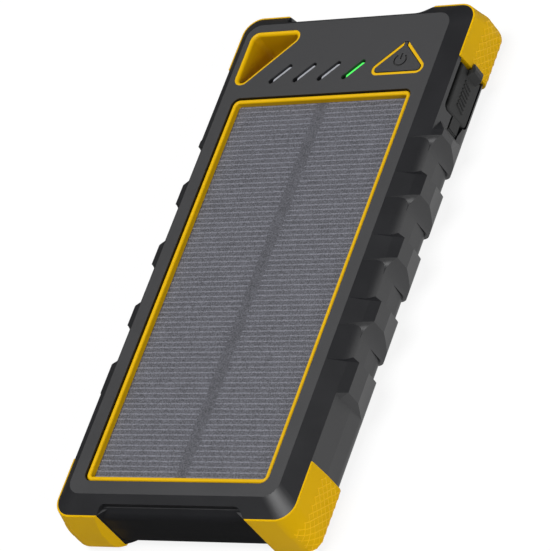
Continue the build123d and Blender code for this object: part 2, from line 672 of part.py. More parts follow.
def front_shell(form):
    """Front half: face, bevel and the upper half of the sides."""
    shell = form & block(-FAR_X, FAR_X, -FAR_Y, FAR_Y, SEAM_Z, THICKNESS + CUT)
    shell = shell - slab(CAVITY_W, CAVITY_L, CAVITY_R, SEAM_Z - CUT, CEILING_Z)
    lip = slab(CAVITY_W + 2 * LIP_T, CAVITY_L + 2 * LIP_T, CAVITY_R + LIP_T, SEAM_Z - LIP_H, SEAM_Z)
    lip = lip - slab(CAVITY_W, CAVITY_L, CAVITY_R, SEAM_Z - LIP_H - CUT, SEAM_Z + CUT)
    shell = shell + lip
    for x, y in SCREW_SPOTS:
        shell = shell + rod(x, y, SEAM_Z - LIP_H, SEAM_Z + BOSS_TOP, BOSS_R)
        shell = shell - rod(x, y, SEAM_Z - LIP_H - CUT, SEAM_Z + SCREW_REACH + SCREW_END_GAP,
                            SCREW_R)
    for x, y in BOARD_SCREW_SPOTS:
        shell = shell + rod(x, y, BOARD_Z1, CEILING_Z, BOARD_BOSS_R)
        shell = shell - rod(x, y, BOARD_Z1 - CUT, BOARD_Z1 + BOARD_SCREW_L, BOARD_SCREW_R)
    opening = slab(WINDOW_W + 2 * TRIM_GAP, WINDOW_L + 2 * TRIM_GAP, WINDOW_R + TRIM_GAP,
                   CEILING_Z - CUT, THICKNESS + CUT, WINDOW_Y)
    shell = shell - opening - prism(hole_outline(0), 0, THICKNESS + CUT)
    for spot in LIGHT_SPOTS:
        recess = prism(slot_at(spot, SLOT_LEN, SLOT_W), THICKNESS - SLOT_DEPTH, THICKNESS + CUT)
        shell = shell - recess - prism(pipe_at(spot, PIPE_L, SLOT_W), CEILING_Z - CUT, THICKNESS)
    shell = button_seat(shell)
    for side in (1, -1):
        shell = shell - port_openings(side)
    recess = port_recess()
    return shell - recess - mirrored(recess)


def rear_shell(form):
    """Back half: tray with the screw posts."""
    shell = form & block(-FAR_X, FAR_X, -FAR_Y, FAR_Y, -CUT, SEAM_Z)
    shell = shell - slab(CAVITY_W, CAVITY_L, CAVITY_R, BACK_WALL, SEAM_Z + CUT)
    reach = 2 * (LIP_T + LIP_GAP)
    shell = shell - slab(CAVITY_W + reach, CAVITY_L + reach, CAVITY_R + reach / 2,
                         SEAM_Z - LIP_H - LIP_GAP, SEAM_Z + CUT)
    for x, y in SCREW_SPOTS:
        shell = shell + rod(x, y, BACK_WALL / 2, SEAM_Z - LIP_H - LIP_GAP, BOSS_R)
        shell = shell - rod(x, y, -CUT, SEAM_Z + CUT, SCREW_R + SCREW_CLEAR)
        shell = shell - rod(x, y, -CUT, SCREW_SINK + SCREW_HEAD_T, SCREW_HEAD_R + SCREW_CLEAR)
    shell = shell - prism(hole_outline(0), -CUT, SEAM_Z + CUT)
    for side in (1, -1):
        shell = shell - port_openings(side)
    recess = port_recess()
    return shell - recess - mirrored(recess)


def lanyard_liner():
    """Tube that lines the lanyard hole, with a rounded rim and a flange under the face."""
    tube = prism(hole_outline(0), 0, THICKNESS)
    tube = tube - prism(hole_outline(LINER_T), -CUT, THICKNESS + CUT)
    front = tube.faces().sort_by(Axis.Z)[-1]
    tube = tube.fillet(LINER_RIM_R, front.inner_wires()[0].edges())
    front = tube.faces().sort_by(Axis.Z)[-1]
    tube = tube.fillet(LINER_EDGE_R, front.outer_wire().edges())
    back = tube.faces().sort_by(Axis.Z)[0]
    tube = tube.fillet(LINER_BACK_R, back.inner_wires()[0].edges())
    flange = prism(hole_outline(-LINER_FLANGE), CEILING_Z - LINER_FLANGE_T, CEILING_Z)
    return tube + (flange - prism(hole_outline(LINER_T / 2), 0, THICKNESS))


# ---------------------------------------------------------------- window
def window_trim():
    """Rounded ring round the solar panel, held under the face by its foot."""
    ring = slab(WINDOW_W, WINDOW_L, WINDOW_R, TRIM_Z0, TRIM_Z1, WINDOW_Y)
    view = slab(WINDOW_W - 2 * TRIM_RIM, WINDOW_L - 2 * TRIM_RIM, WINDOW_R - TRIM_RIM,
                TRIM_Z0 - CUT, TRIM_Z1 + CUT, WINDOW_Y)
    ring = ring - view
    ring = fillet(ring.faces().sort_by(Axis.Z)[-1].edges(), TRIM_BEAD_R)
    foot = slab(WINDOW_W + 2 * TRIM_FOOT, WINDOW_L + 2 * TRIM_FOOT, WINDOW_R + TRIM_FOOT,
                TRIM_Z0, CEILING_Z, WINDOW_Y)
    seat = slab(WINDOW_W - 2 * TRIM_WALL, WINDOW_L - 2 * TRIM_WALL, WINDOW_R - TRIM_WALL,
                TRIM_Z0 - CUT, PANEL_Z1, WINDOW_Y)
    return ring + (foot - view) - seat


def panel_layer(z0, z1, margin=0.0):
    """One layer of the solar panel."""
    radius = WINDOW_R - TRIM_WALL - PANEL_GAP
    return slab(PANEL_W - 2 * margin, PANEL_L - 2 * margin, radius, z0, z1, WINDOW_Y)


def solar_cells():
    """Row of cell strips across the panel."""
    length = PANEL_L - 2 * CELL_MARGIN
    pitch = (length + CELL_GAP) / CELL_COUNT
    first = WINDOW_Y - length / 2
    half = PANEL_W / 2 - CELL_MARGIN
    strips = []
    for i in range(CELL_COUNT):
        y = first + i * pitch
        strips.append(block(-half, half, y, y + pitch - CELL_GAP, CELL_Z0, CELL_Z1))
    return group(strips)


# ---------------------------------------------------------------- charge lights
def light_pipe(spot):
    """Clear bar in its slot, with a foot under the face."""
    bar = prism(pipe_at(spot, PIPE_L - 2 * PIPE_GAP, SLOT_W - 2 * PIPE_GAP),
                BOARD_Z1 + LED_T + LED_GAP, THICKNESS - PIPE_SINK)
    foot = prism(pipe_at(spot, PIPE_L + 2 * PIPE_FOOT, SLOT_W + 2 * PIPE_FOOT),
                 CEILING_Z - PIPE_FOOT_T, CEILING_Z)
    return bar + foot


def led(spot):
    """Small lamp on the board under a light pipe."""
    place = Pos(spot[0] + PIPE_DX, spot[1] + PIPE_DY, BOARD_Z1) * Rot(0, 0, LIGHT_ANGLE)
    return place * Box(LED_L, LED_W, LED_T, align=(Align.CENTER, Align.CENTER, Align.MIN))


# ---------------------------------------------------------------- power button
def button_ring():
    """Coloured ring round the button, open at the hinge and cut away over its arm."""
    ring = prism(button_outline(RING_GAP), CEILING_Z - RING_FOOT_T, THICKNESS - RING_SINK)
    foot = prism(button_outline(-RING_FOOT), CEILING_Z - RING_FOOT_T, CEILING_Z)
    ring = ring + foot - prism(button_outline(RING_W), 0, THICKNESS + CUT)
    half = RING_MOUTH / 2
    low_y = MOUTH_Y - HINGE_BLOCK_L
    high_y = MOUTH_Y + HINGE_BLOCK_L
    mouth = block(BUTTON_X - half, BUTTON_X + half, low_y, high_y, 0, THICKNESS + CUT)
    half = ARM_W / 2 + HINGE_WALL + BUTTON_GAP
    under = block(BUTTON_X - half, BUTTON_X + half, low_y, high_y, 0,
                  BARREL_Z + ARM_T / 2 + ARM_GAP)
    return ring - mouth - under


def power_button():
    """Triangular key with a hinge arm under the ends of the ring, and a post over the switch."""
    key = prism(button_outline(RING_W + BUTTON_GAP), BUTTON_Z0, THICKNESS)
    half = NECK_W / 2
    neck_y = MOUTH_Y - BUTTON_GAP
    neck = block(BUTTON_X - half, BUTTON_X + half, neck_y - NECK_L, neck_y, BUTTON_Z0, THICKNESS)
    half = ARM_W / 2
    arm = block(BUTTON_X - half, BUTTON_X + half, neck_y - ARM_LAP, BARREL_Y,
                BARREL_Z - ARM_T / 2, BARREL_Z + ARM_T / 2)
    barrel = Pos(BUTTON_X, BARREL_Y, BARREL_Z) * Rot(0, 90, 0) * Cylinder(BARREL_R, ARM_W)
    post = rod(BUTTON_X, POST_Y, STEM_Z1 + POST_GAP, BUTTON_Z0 + BUTTON_T / 2, POST_R)
    return key + neck + arm + barrel + post


def tact_switch():
    """Body of the push switch on the board."""
    half = SWITCH_W / 2
    body = block(BUTTON_X - half, BUTTON_X + half, POST_Y - half, POST_Y + half,
                 BOARD_Z1, SWITCH_Z1)
    floor = SWITCH_Z1 - STEM_IN - 2 * STEM_TRAVEL
    return body - rod(BUTTON_X, POST_Y, floor, SWITCH_Z1 + CUT, STEM_R + STEM_GAP)


def switch_stem():
    return rod(BUTTON_X, POST_Y, SWITCH_Z1 - STEM_IN, STEM_Z1, STEM_R)


# ---------------------------------------------------------------- port covers
def port_cover(plug_y, plug_z, plug_w, plug_h):
    """Rubber cover on the right-hand side: plate, strap with hinge bead, pull tab and plug."""
    plate = block(COVER_X0, COVER_X1, COVER_Y0, COVER_Y1, COVER_Z0, COVER_Z1)
    low = [e for e in plate.edges().filter_by(Axis.X) if e.center().Y < PORT_Y]
    plate = fillet(low, COVER_R)
    plate = fillet(plate.faces().sort_by(Axis.X)[-1].edges(), COVER_EDGE_R)
    strap = block(HINGE_X - STRAP_UNDER, STRAP_X1, HINGE_Y, COVER_Y0 + COVER_R, STRAP_Z0, STRAP_Z1)
    bead = rod(HINGE_X, HINGE_Y, STRAP_Z0, STRAP_Z1, KNUCKLE_R)
    plug = block(COVER_X0 - PLUG_DEPTH, COVER_X0 + COVER_PLATE_T / 2, plug_y - plug_w / 2,
                 plug_y + plug_w / 2, plug_z - plug_h / 2, plug_z + plug_h / 2)
    plug = chamfer(plug.faces().sort_by(Axis.X)[0].edges(), PLUG_EDGE)
    return plate + strap + bead + plug + pull_tab()


def pull_tab():
    """Finger tab at the free end, a ridge that reaches over the bumper."""
    y1 = COVER_Y1 + TAB_OVER
    y0 = y1 - TAB_L
    inner = COVER_X0 + COVER_PLATE_T / 2
    under = SIDE_X + BUMPER_OUT + TAB_LIFT
    side = Polygon((inner, y0), (COVER_X1, y0), (RIB_X, y0 + TAB_NOSE), (RIB_X, y1 - TAB_NOSE),
                   (RIB_X - TAB_DROP, y1), (under, y1), (under, COVER_Y1), (inner, COVER_Y1),
                   align=None)
    z0 = PORT_Z - TAB_W / 2
    z1 = PORT_Z + TAB_W / 2
    ridge = [(inner, z0), (RIB_X - TAB_R, z0), (RIB_X, z0 + TAB_R), (RIB_X, z1 - TAB_R),
             (RIB_X - TAB_R, z1), (inner, z1)]
    return prism(side, z0, z1) & along_y(ridge, {}, y0 - CUT, y1 + CUT)


# ---------------------------------------------------------------- sockets and board
def socket(y, z, width, height, length, wall):
    """Metal shell of a socket, open at its mouth on the right."""
    x1 = SOCKET_X
    x0 = x1 - length
    outer = block(x0, x1, y - width / 2, y + width / 2, z - height / 2, z + height / 2)
    outer = fillet(outer.edges().filter_by(Axis.X), 2 * wall)
    inner = block(x0 + wall, x1 + CUT, y - width / 2 + wall, y + width / 2 - wall,
                  z - height / 2 + wall, z + height / 2 - wall)
    return outer - inner


def tongue(y, z, width, thickness, length, back_x):
    """Contact tongue inside a socket."""
    return block(back_x, back_x + length, y - width / 2, y + width / 2,
                 z - thickness / 2, z + thickness / 2)


def main_board():
    """Circuit board: a strip across the housing and a wider part under the face's controls."""
    half = CAVITY_W / 2 - BOARD_EDGE
    y1 = CAVITY_L / 2 - BOARD_TOP_IN
    slope = HOLE_L / HOLE_W
    low_y = HOLE_TOP_Y - HOLE_L + HOLE_R * HOLE_TURN - BOARD_CLEAR
    shift = BOARD_CLEAR * math.hypot(1, slope)
    flange = LINER_FLANGE + LINER_PASS

    def edge_x(y):
        """Edge beside the liner, parallel to the long leg of the hole."""
        return HOLE_LEFT_X + (y - HOLE_TOP_Y + HOLE_L + flange + shift) / slope

    outline = Polygon((-half, BOARD_Y0), (half, BOARD_Y0), (half, y1), (edge_x(y1) + shift, y1),
                      (edge_x(low_y) + shift, low_y), (-half, low_y), align=None)
    board = prism(outline, BOARD_Z0, BOARD_Z1)
    for x, y in BOARD_SCREW_SPOTS:
        board = board - rod(x, y, BOARD_Z0 - CUT, BOARD_Z1 + CUT, BOARD_SCREW_R)
    for x, y in SCREW_SPOTS:
        board = board - rod(x, y, BOARD_Z0 - CUT, BOARD_Z1 + CUT, BOSS_R + BOSS_GAP)
    return board


def board_screw(spot):
    x, y = spot
    head = rod(x, y, BOARD_Z0 - BOARD_SCREW_HEAD_T, BOARD_Z0, BOARD_SCREW_HEAD_R)
    return head + rod(x, y, BOARD_Z0, BOARD_Z1 + BOARD_SCREW_L - SCREW_END_GAP, BOARD_SCREW_R)


def rear_screw(spot):
    x, y = spot
    head = rod(x, y, SCREW_SINK, SCREW_SINK + SCREW_HEAD_T, SCREW_HEAD_R)
    return head + rod(x, y, SCREW_SINK + SCREW_HEAD_T, SEAM_Z + SCREW_REACH, SCREW_R)


def inductor():
    """Power coil under the board."""
    body = block(COIL_X - COIL_W / 2, COIL_X + COIL_W / 2, LIGHT_Y - COIL_W / 2, LIGHT_Y + COIL_W / 2,
                 BOARD_Z0 - COIL_H, BOARD_Z0)
    return chamfer(body.edges().filter_by(Axis.Z), COIL_W / 6)


def chips():
    """Charge controller and boost converter."""
    bodies = []
    for i in range(CHIP_COUNT):
        x1 = COIL_X - COIL_W / 2 - CHIP_GAP - i * (CHIP_W + CHIP_GAP)
        bodies.append(block(x1 - CHIP_W, x1, LIGHT_Y - CHIP_W / 2, LIGHT_Y + CHIP_W / 2,
                            BOARD_Z0 - CHIP_H, BOARD_Z0))
    return group(bodies)


def capacitors():
    """Buffer capacitors under the board."""
    y = LIGHT_Y + COIL_W
    spots = [(COIL_X + i * (2 * CAP_R + CAP_GAP), y) for i in range(CAP_COUNT)]
    return group([rod(a, b, BOARD_Z0 - CAP_H, BOARD_Z0, CAP_R) for a, b in spots])


# ---------------------------------------------------------------- battery
def battery_cell(z0):
    """Pouch cell with its folded seal at the terminal end."""
    half = PACK_W / 2
    body = block(-half, half, PACK_LOW_Y, PACK_TOP_Y, z0, z0 + PACK_CELL_T)
    body = fillet(body.edges().filter_by(Axis.Y), PACK_R)
    middle = z0 + PACK_CELL_T / 2
    return body + block(PACK_R - half, half - PACK_R, PACK_TOP_Y, PACK_TOP_Y + TERRACE_L,
                        middle - TERRACE_T / 2, middle + TERRACE_T / 2)


def pad(z0, thickness):
    """Foam or tape between the cells and what is next to them."""
    half = PACK_W / 2 - PACK_R
    return block(-half, half, PACK_LOW_Y + PACK_R, PACK_TOP_Y - PACK_R, z0, z0 + thickness)


def lead(x, points):
    """Insulated wire along (y, z) points at x."""
    route = FilletPolyline(*[(x, y, z) for y, z in points], radius=LEAD_BEND)
    start = Plane(origin=route @ 0, z_dir=route % 0)
    return sweep(start * Circle(LEAD_R), path=route)


def build():
    os.makedirs("parts", exist_ok=True)

    form = housing()
    cap = bumper()
    caps = {
        "bumper_top_right": cap,
        "bumper_top_left": mirrored(cap),
        "bumper_bottom_right": flipped(cap),
        "bumper_bottom_left": flipped(mirrored(cap)),
    }
    for name, shape in caps.items():
        write(shape, name)
        form = form - shape
    write(front_shell(form), "front_shell")
    write(rear_shell(form), "rear_shell")
    write(lanyard_liner(), "lanyard_liner")

    write(window_trim(), "window_trim")
    write(panel_layer(CELL_Z1, PANEL_Z1), "solar_cover")
    write(solar_cells(), "solar_cells")
    write(panel_layer(TRIM_Z0, CELL_Z0), "solar_backing_board")

    write(group([light_pipe(spot) for spot in LIGHT_SPOTS[:-1]]), "light_pipes")
    write(light_pipe(LIGHT_SPOTS[-1]), "light_pipe_lit")
    write(group([led(spot) for spot in LIGHT_SPOTS]), "indicator_leds")

    write(button_ring(), "button_ring")
    write(power_button(), "power_button")
    write(tact_switch(), "tact_switch")
    write(switch_stem(), "switch_stem")

    output_plug = (PORT_Y, PORT_Z, USB_W + 2 * (PORT_CLEAR - PLUG_GAP),
                   USB_H + 2 * (PORT_CLEAR - PLUG_GAP / 2))
    input_plug = (MICRO_Y, MICRO_Z, MICRO_W + 2 * (PORT_CLEAR - PLUG_GAP),
                  MICRO_H + 2 * (PORT_CLEAR - PLUG_GAP / 2))
    write(port_cover(*output_plug), "output_port_cover")
    write(mirrored(port_cover(*input_plug)), "input_port_cover")

    write(socket(PORT_Y, PORT_Z, USB_W, USB_H, USB_L, USB_T), "usb_output_socket")
    back_x = SOCKET_X - USB_L + USB_T
    write(tongue(PORT_Y, PORT_Z + USB_TONGUE_T / 2, USB_TONGUE_W, USB_TONGUE_T,
                 USB_TONGUE_L, back_x), "usb_output_tongue")
    write(mirrored(socket(MICRO_Y, MICRO_Z, MICRO_W, MICRO_H, MICRO_L, MICRO_T)),
          "micro_usb_input_socket")
    back_x = SOCKET_X - MICRO_L + MICRO_T
    write(mirrored(tongue(MICRO_Y, MICRO_Z, MICRO_TONGUE_W, MICRO_TONGUE_T,
                          MICRO_TONGUE_L, back_x)), "micro_usb_input_tongue")

    write(main_board(), "main_circuit_board")
    write(group([board_screw(spot) for spot in BOARD_SCREW_SPOTS]), "board_screws")
    write(inductor(), "power_inductor")
    write(chips(), "power_chips")
    write(capacitors(), "buffer_capacitors")

    lower_z = PACK_Z0
    upper_z = PACK_Z0 + PACK_CELL_T + PACK_TAPE_T
    write(battery_cell(lower_z), "battery_cell_lower")
    write(battery_cell(upper_z), "battery_cell_upper")
    write(pad(lower_z + PACK_CELL_T, PACK_TAPE_T), "battery_tape")
    write(group([pad(BACK_WALL, PACK_PAD_T), pad(PACK_Z1, PACK_TOP_PAD_T)]), "battery_pads")
    guard_z = upper_z + PACK_CELL_T / 2 + TERRACE_T / 2
    guard_y = PACK_TOP_Y + GUARD_GAP
    write(block(-GUARD_W / 2, GUARD_W / 2, guard_y, guard_y + GUARD_L,
                guard_z, guard_z + GUARD_T), "battery_protection_board")

    land_y = BOARD_Y0 + LEAD_LAND
    high = guard_z + GUARD_T + LEAD_R
    low = BOARD_Z1 + LEAD_R
    start_y = PACK_TOP_Y + LEAD_START
    route = [(start_y, high), (start_y + LEAD_RUN, high), (BOARD_Y0 - LEAD_DIP, low), (land_y, low)]
    write(group([lead(i * LEAD_PITCH, route) for i in range(LEAD_COUNT)]), "battery_leads")
    under = TRIM_Z0 - LEAD_R
    start_y = BOARD_Y0 - SOLAR_LEAD_START
    lift_y = BOARD_Y0 + SOLAR_LEAD_LIFT
    route = [(start_y, under), (start_y + SOLAR_LEAD_RUN, under), (lift_y, low),
             (lift_y + LEAD_LAND, low)]
    first_x = SOLAR_LEAD_IN - PANEL_W / 2
    write(group([lead(first_x - i * LEAD_PITCH, route) for i in range(LEAD_COUNT)]),
          "solar_leads")

    write(group([rear_screw(spot) for spot in SCREW_SPOTS]), "rear_screws")


build()
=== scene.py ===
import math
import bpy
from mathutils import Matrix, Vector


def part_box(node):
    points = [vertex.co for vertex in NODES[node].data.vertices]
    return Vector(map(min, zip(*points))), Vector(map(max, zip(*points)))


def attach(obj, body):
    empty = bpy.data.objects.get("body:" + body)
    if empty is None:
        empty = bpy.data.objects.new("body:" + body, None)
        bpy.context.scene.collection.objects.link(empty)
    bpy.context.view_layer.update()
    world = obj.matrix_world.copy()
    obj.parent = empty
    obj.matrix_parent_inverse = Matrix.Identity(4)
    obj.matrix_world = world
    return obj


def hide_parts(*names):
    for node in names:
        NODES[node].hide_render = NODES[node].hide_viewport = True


bl_info = {
    "name": "Solar Power Bank Dresser",
    "version": (1, 1, 0),
    "blender": (4, 5, 0),
    "location": "3D View > Sidebar > Power Bank",
    "description": "Dresses the packed solar power bank with finishes and moulded detail",
    "category": "Object",
}

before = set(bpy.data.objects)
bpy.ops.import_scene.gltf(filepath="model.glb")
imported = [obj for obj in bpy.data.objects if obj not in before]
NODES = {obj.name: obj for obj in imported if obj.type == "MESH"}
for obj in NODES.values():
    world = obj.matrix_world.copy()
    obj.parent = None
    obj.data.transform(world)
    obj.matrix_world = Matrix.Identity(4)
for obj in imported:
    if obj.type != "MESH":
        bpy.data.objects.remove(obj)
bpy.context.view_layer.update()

import bmesh
import bpy
from bpy.props import FloatProperty, FloatVectorProperty, IntProperty, PointerProperty
from mathutils import Matrix, Vector

MM = 0.001                          # lengths are in metres, as the frame's are

# Each bumper's corner of the housing, as the signs of its X and Y.
BUMPERS = {
    "bumper_top_right": (1, 1),
    "bumper_top_left": (-1, 1),
    "bumper_bottom_right": (1, -1),
    "bumper_bottom_left": (-1, -1),
}

MERGE_DISTANCE = 1e-6               # corners of loose triangles nearer than this are one
FLAT_ANGLE = math.radians(0.05)     # faces that meet at less than this are one
SHARP_ANGLE = math.radians(28)      # edges that turn by more than this get rounded

# The camera looks down at a point near the object's middle, and is turned on its own axis.
# Its lens and sensor are in millimetres, as Blender has them.
CAMERA_AIM = (-0.63 * MM, -2.38 * MM, 10.0 * MM)
CAMERA_DISTANCE = 1.0723
CAMERA_AZIMUTH = math.radians(-37.837)
CAMERA_ELEVATION = math.radians(41.650)
CAMERA_ROLL = math.radians(-41.935)
CAMERA_LENS = 247.6
CAMERA_SENSOR = 36.0


# ------------------------------------------------------------------ node tree helpers
def new_material(name):
    material = bpy.data.materials.new(f"dressed_{name}")
    material.use_nodes = True
    material.node_tree.nodes.clear()
    return material


class Tree:
    """Short way to add and link shader nodes."""

    # Colour sockets of a Mix node, which also has a set for each other data type.
    MIX_SHARE, MIX_A, MIX_B, MIX_RESULT = 0, 6, 7, 2

    def __init__(self, material):
        self.nodes = material.node_tree.nodes
        self.links = material.node_tree.links

    def add(self, kind, inputs=None, **settings):
        """Adds a node, whose inputs are values or other nodes' outputs."""
        node = self.nodes.new(kind)
        for key, value in settings.items():
            setattr(node, key, value)
        for key, value in (inputs or {}).items():
            if isinstance(value, bpy.types.NodeSocket):
                self.links.new(value, node.inputs[key])
            else:
                node.inputs[key].default_value = value
        return node

    def place(self):
        return self.add("ShaderNodeTexCoord").outputs["Object"]

    def axes(self, vector):
        return self.add("ShaderNodeSeparateXYZ", {0: vector}).outputs

    def noise(self, vector, scale, detail=2.0, roughness=0.5):
        inputs = {"Vector": vector, "Scale": scale, "Detail": detail, "Roughness": roughness}
        return self.add("ShaderNodeTexNoise", inputs).outputs["Fac"]

    def ramp(self, value, low, high, start=0.3, stop=0.7):
        """Colour that goes from low to high while the value goes from start to stop."""
        node = self.add("ShaderNodeValToRGB", {"Fac": value})
        first, last = node.color_ramp.elements
        first.position, last.position = start, stop
        first.color, last.color = low, high
        return node.outputs["Color"]

    def math(self, operation, a, b=0.0, c=0.0):
        return self.add("ShaderNodeMath", {0: a, 1: b, 2: c}, operation=operation).outputs[0]

    def swing(self, noise, width):
        """A noise as a swing of this whole width to both sides of zero."""
        return self.math("MULTIPLY", self.math("SUBTRACT", noise, 0.5), width)

    def mix(self, share, a, b, blend="MIX"):
        inputs = {self.MIX_SHARE: share, self.MIX_A: a, self.MIX_B: b}
        node = self.add("ShaderNodeMix", inputs, data_type="RGBA", blend_type=blend)
        return node.outputs[self.MIX_RESULT]

    def bump(self, height, strength, distance):
        inputs = {"Height": height, "Strength": strength, "Distance": distance}
        return self.add("ShaderNodeBump", inputs).outputs["Normal"]

    def surface(self, shader):
        self.add("ShaderNodeOutputMaterial", {"Surface": shader})

    def principled(self, inputs):
        self.surface(self.add("ShaderNodeBsdfPrincipled", inputs).outputs[0])


def shade(colour, level=1.0):
    """Colour with its alpha, darkened or lightened by the level."""
    return (*(part * level for part in colour), 1.0)


def grey(value):
    return (value, value, value, 1.0)


# ------------------------------------------------------------------ finishes
def moulded(name, colour, roughness, grain=3000.0, depth=0.2, spread=0.12, specular=0.5,
            metallic=0.0):
    """Moulded, coated or stamped surface: fine grain and slight mottling of colour and gloss."""
    gloss_spread = 0.03
    material = new_material(name)
    tree = Tree(material)
    where = tree.place()
    mottle = tree.noise(where, scale=60.0, detail=3.0)
    base = tree.ramp(mottle, shade(colour, 1 - spread), shade(colour, 1 + spread))
    gloss = tree.ramp(mottle, grey(roughness - gloss_spread), grey(roughness + gloss_spread))
    normal = tree.bump(tree.noise(where, grain), depth, distance=0.2 * MM)
    tree.principled({"Base Color": base, "Roughness": gloss, "Normal": normal,
                     "Metallic": metallic, "Specular IOR Level": specular})


def solar_laminate(finish):
    """Grainy clear laminate over silicon, with fine contact lines and a plain middle band."""
    contact_level = 3.4             # contact lines, as a level of the silicon's colour
    band_level = 0.86               # the band, likewise
    band_inner, band_outer = 0.42, 0.56     # its edge, from the middle, in band widths
    band_sway = 1.6 * MM
    material = new_material("solar_laminate")
    tree = Tree(material)
    where = tree.place()
    x, y = tree.axes(where)[:2]
    speckle = tree.noise(where, scale=2600.0, roughness=0.7)
    cloud = tree.noise(where, scale=160.0, detail=4.0, roughness=0.6)
    silicon = speckled_silicon(tree, finish, speckle, cloud)
    from_middle = tree.math("ABSOLUTE", tree.math("ADD", x, tree.swing(cloud, band_sway)))
    strength = contact_strength(tree, finish, y, from_middle, speckle, cloud)
    lined = tree.mix(strength, silicon, shade(finish.panel, contact_level))
    band = tree.ramp(from_middle, grey(band_level), grey(1.0),
                     start=finish.band_width * band_inner, stop=finish.band_width * band_outer)
    base = tree.mix(1.0, lined, band, blend="MULTIPLY")
    normal = tree.bump(speckle, strength=0.5, distance=0.1 * MM)
    tree.principled({"Base Color": base, "Roughness": 0.5, "Normal": normal,
                     "Specular IOR Level": 0.3})


def speckled_silicon(tree, finish, speckle, cloud):
    """The panel's own colour: fine speckle, with a little of the broader cloud."""
    speckle_share, cloud_share = 0.9, 0.1
    dark_level, light_level = 0.45, 1.7
    grainy = tree.math("ADD", tree.math("MULTIPLY", speckle, speckle_share),
                       tree.math("MULTIPLY", cloud, cloud_share))
    return tree.ramp(grainy, shade(finish.panel, dark_level), shade(finish.panel, light_level),
                     start=0.36, stop=0.64)


def contact_strength(tree, finish, y, from_middle, speckle, cloud):
    """How much the contact lines show: wavy, soft-edged, broken, and none on the band."""
    waviness = 0.1                  # whole swing of a line, in line pitches
    half_width, softness = 0.17, 0.3    # of a line, in line pitches and in brightness
    gap_level, contrast = 0.2, 1.9  # speckle below this level breaks a line
    phase = tree.math("FRACT", tree.math("ADD", tree.math("DIVIDE", y, finish.line_pitch),
                                         tree.swing(cloud, waviness)))
    away = tree.math("ABSOLUTE", tree.math("SUBTRACT", phase, 0.5))
    edge = tree.math("SMOOTH_MIN", 1.0, tree.math("DIVIDE", away, half_width), softness)
    line = tree.math("MAXIMUM", tree.math("SUBTRACT", 1.0, edge), 0.0)
    outside = tree.math("GREATER_THAN", from_middle, finish.band_width / 2)
    broken = tree.math("MULTIPLY", tree.math("SUBTRACT", speckle, gap_level), contrast)
    return tree.math("MULTIPLY", tree.math("MULTIPLY", line, outside), broken)


def light_bar(name, colour, glow):
    """Milky light guide, slightly cloudy, with an even glow: its LED's own light on the lit green
    guide, a faint painted glow on the unlit clear guides.
    """
    dark_level = 0.85
    material = new_material(name)
    tree = Tree(material)
    where = tree.place()
    cloudy = tree.noise(where, scale=900.0, detail=3.0)
    base = tree.ramp(cloudy, shade(colour, dark_level), shade(colour))
    normal = tree.bump(tree.noise(where, scale=2500.0), strength=0.1, distance=0.1 * MM)
    tree.principled({"Base Color": base, "Roughness": 0.3, "Normal": normal,
                     "Emission Color": shade(colour), "Emission Strength": glow})


def circuit_mask(name, colour):
    """Solder mask with the faint relief of tracks under it."""
    track_level = 1.6
    material = new_material(name)
    tree = Tree(material)
    tracks = tree.add("ShaderNodeTexVoronoi", {"Vector": tree.place(), "Scale": 260.0},
                      distance="MANHATTAN").outputs["Distance"]
    base = tree.ramp(tracks, shade(colour, track_level), shade(colour), start=0.25, stop=0.4)
    normal = tree.bump(tracks, strength=0.3, distance=0.1 * MM)
    tree.principled({"Base Color": base, "Roughness": 0.3, "Normal": normal})


def brushed(name, colour, roughness):
    """Metal with fine brushing along Y."""
    gloss_spread, stretch, dark_level = 0.06, 0.04, 0.85
    material = new_material(name)
    tree = Tree(material)
    along = tree.add("ShaderNodeMapping", {"Vector": tree.place(), "Scale": (1.0, stretch, 1.0)})
    streak = tree.noise(along.outputs[0], scale=6000.0)
    base = tree.ramp(streak, shade(colour, dark_level), shade(colour))
    gloss = tree.ramp(streak, grey(roughness - gloss_spread), grey(roughness + gloss_spread))
    normal = tree.bump(streak, strength=0.08, distance=0.1 * MM)
    tree.principled({"Base Color": base, "Roughness": gloss, "Normal": normal, "Metallic": 1.0})


def floor_paper():
    """Pale floor that keeps the object's shadow and looks almost plain white from anywhere.
    Reflections find it bright at the object's right and dim elsewhere."""
    background = 0.88                               # share of plain white for the camera
    dim, dim_until, bright_from = 0.05, 20.0 * MM, 45.0 * MM
    material = new_material("floor_paper")
    tree = Tree(material)
    where = tree.place()
    paper = tree.ramp(tree.noise(where, scale=900.0), grey(0.84), grey(0.87))
    diffuse = tree.add("ShaderNodeBsdfDiffuse", {"Color": paper}).outputs[0]
    ray = tree.add("ShaderNodeLightPath").outputs
    reflected = tree.add("ShaderNodeMapRange", {"Value": tree.axes(where)[0],
                                                "From Min": dim_until, "From Max": bright_from,
                                                "To Min": dim, "To Max": 1.0}).outputs[0]
    level = tree.math("MAXIMUM", ray["Is Camera Ray"], reflected)
    glow = tree.add("ShaderNodeEmission", {"Color": grey(1.0), "Strength": level}).outputs[0]
    mirrored = tree.math("MAXIMUM", ray["Is Glossy Ray"], ray["Is Transmission Ray"])
    seen = tree.math("MULTIPLY", ray["Is Camera Ray"], background)
    share = tree.math("MAXIMUM", seen, mirrored)
    tree.surface(tree.add("ShaderNodeMixShader", {0: share, 1: diffuse, 2: glow}).outputs[0])
    return material


def paint(node, material):
    """Gives a CAD node its finish."""
    for slot in NODES[node].material_slots:
        slot.link = "OBJECT"
        slot.material = material


def finish_named(name):
    material = bpy.data.materials.get(f"dressed_{name}")
    if material is None:
        raise RuntimeError(f"the finish {name} hasn't been made yet")
    return material


# ------------------------------------------------------------------ mesh helpers
def link(name, data):
    obj = bpy.data.objects.new(name, data)
    bpy.context.scene.collection.objects.link(obj)
    return obj


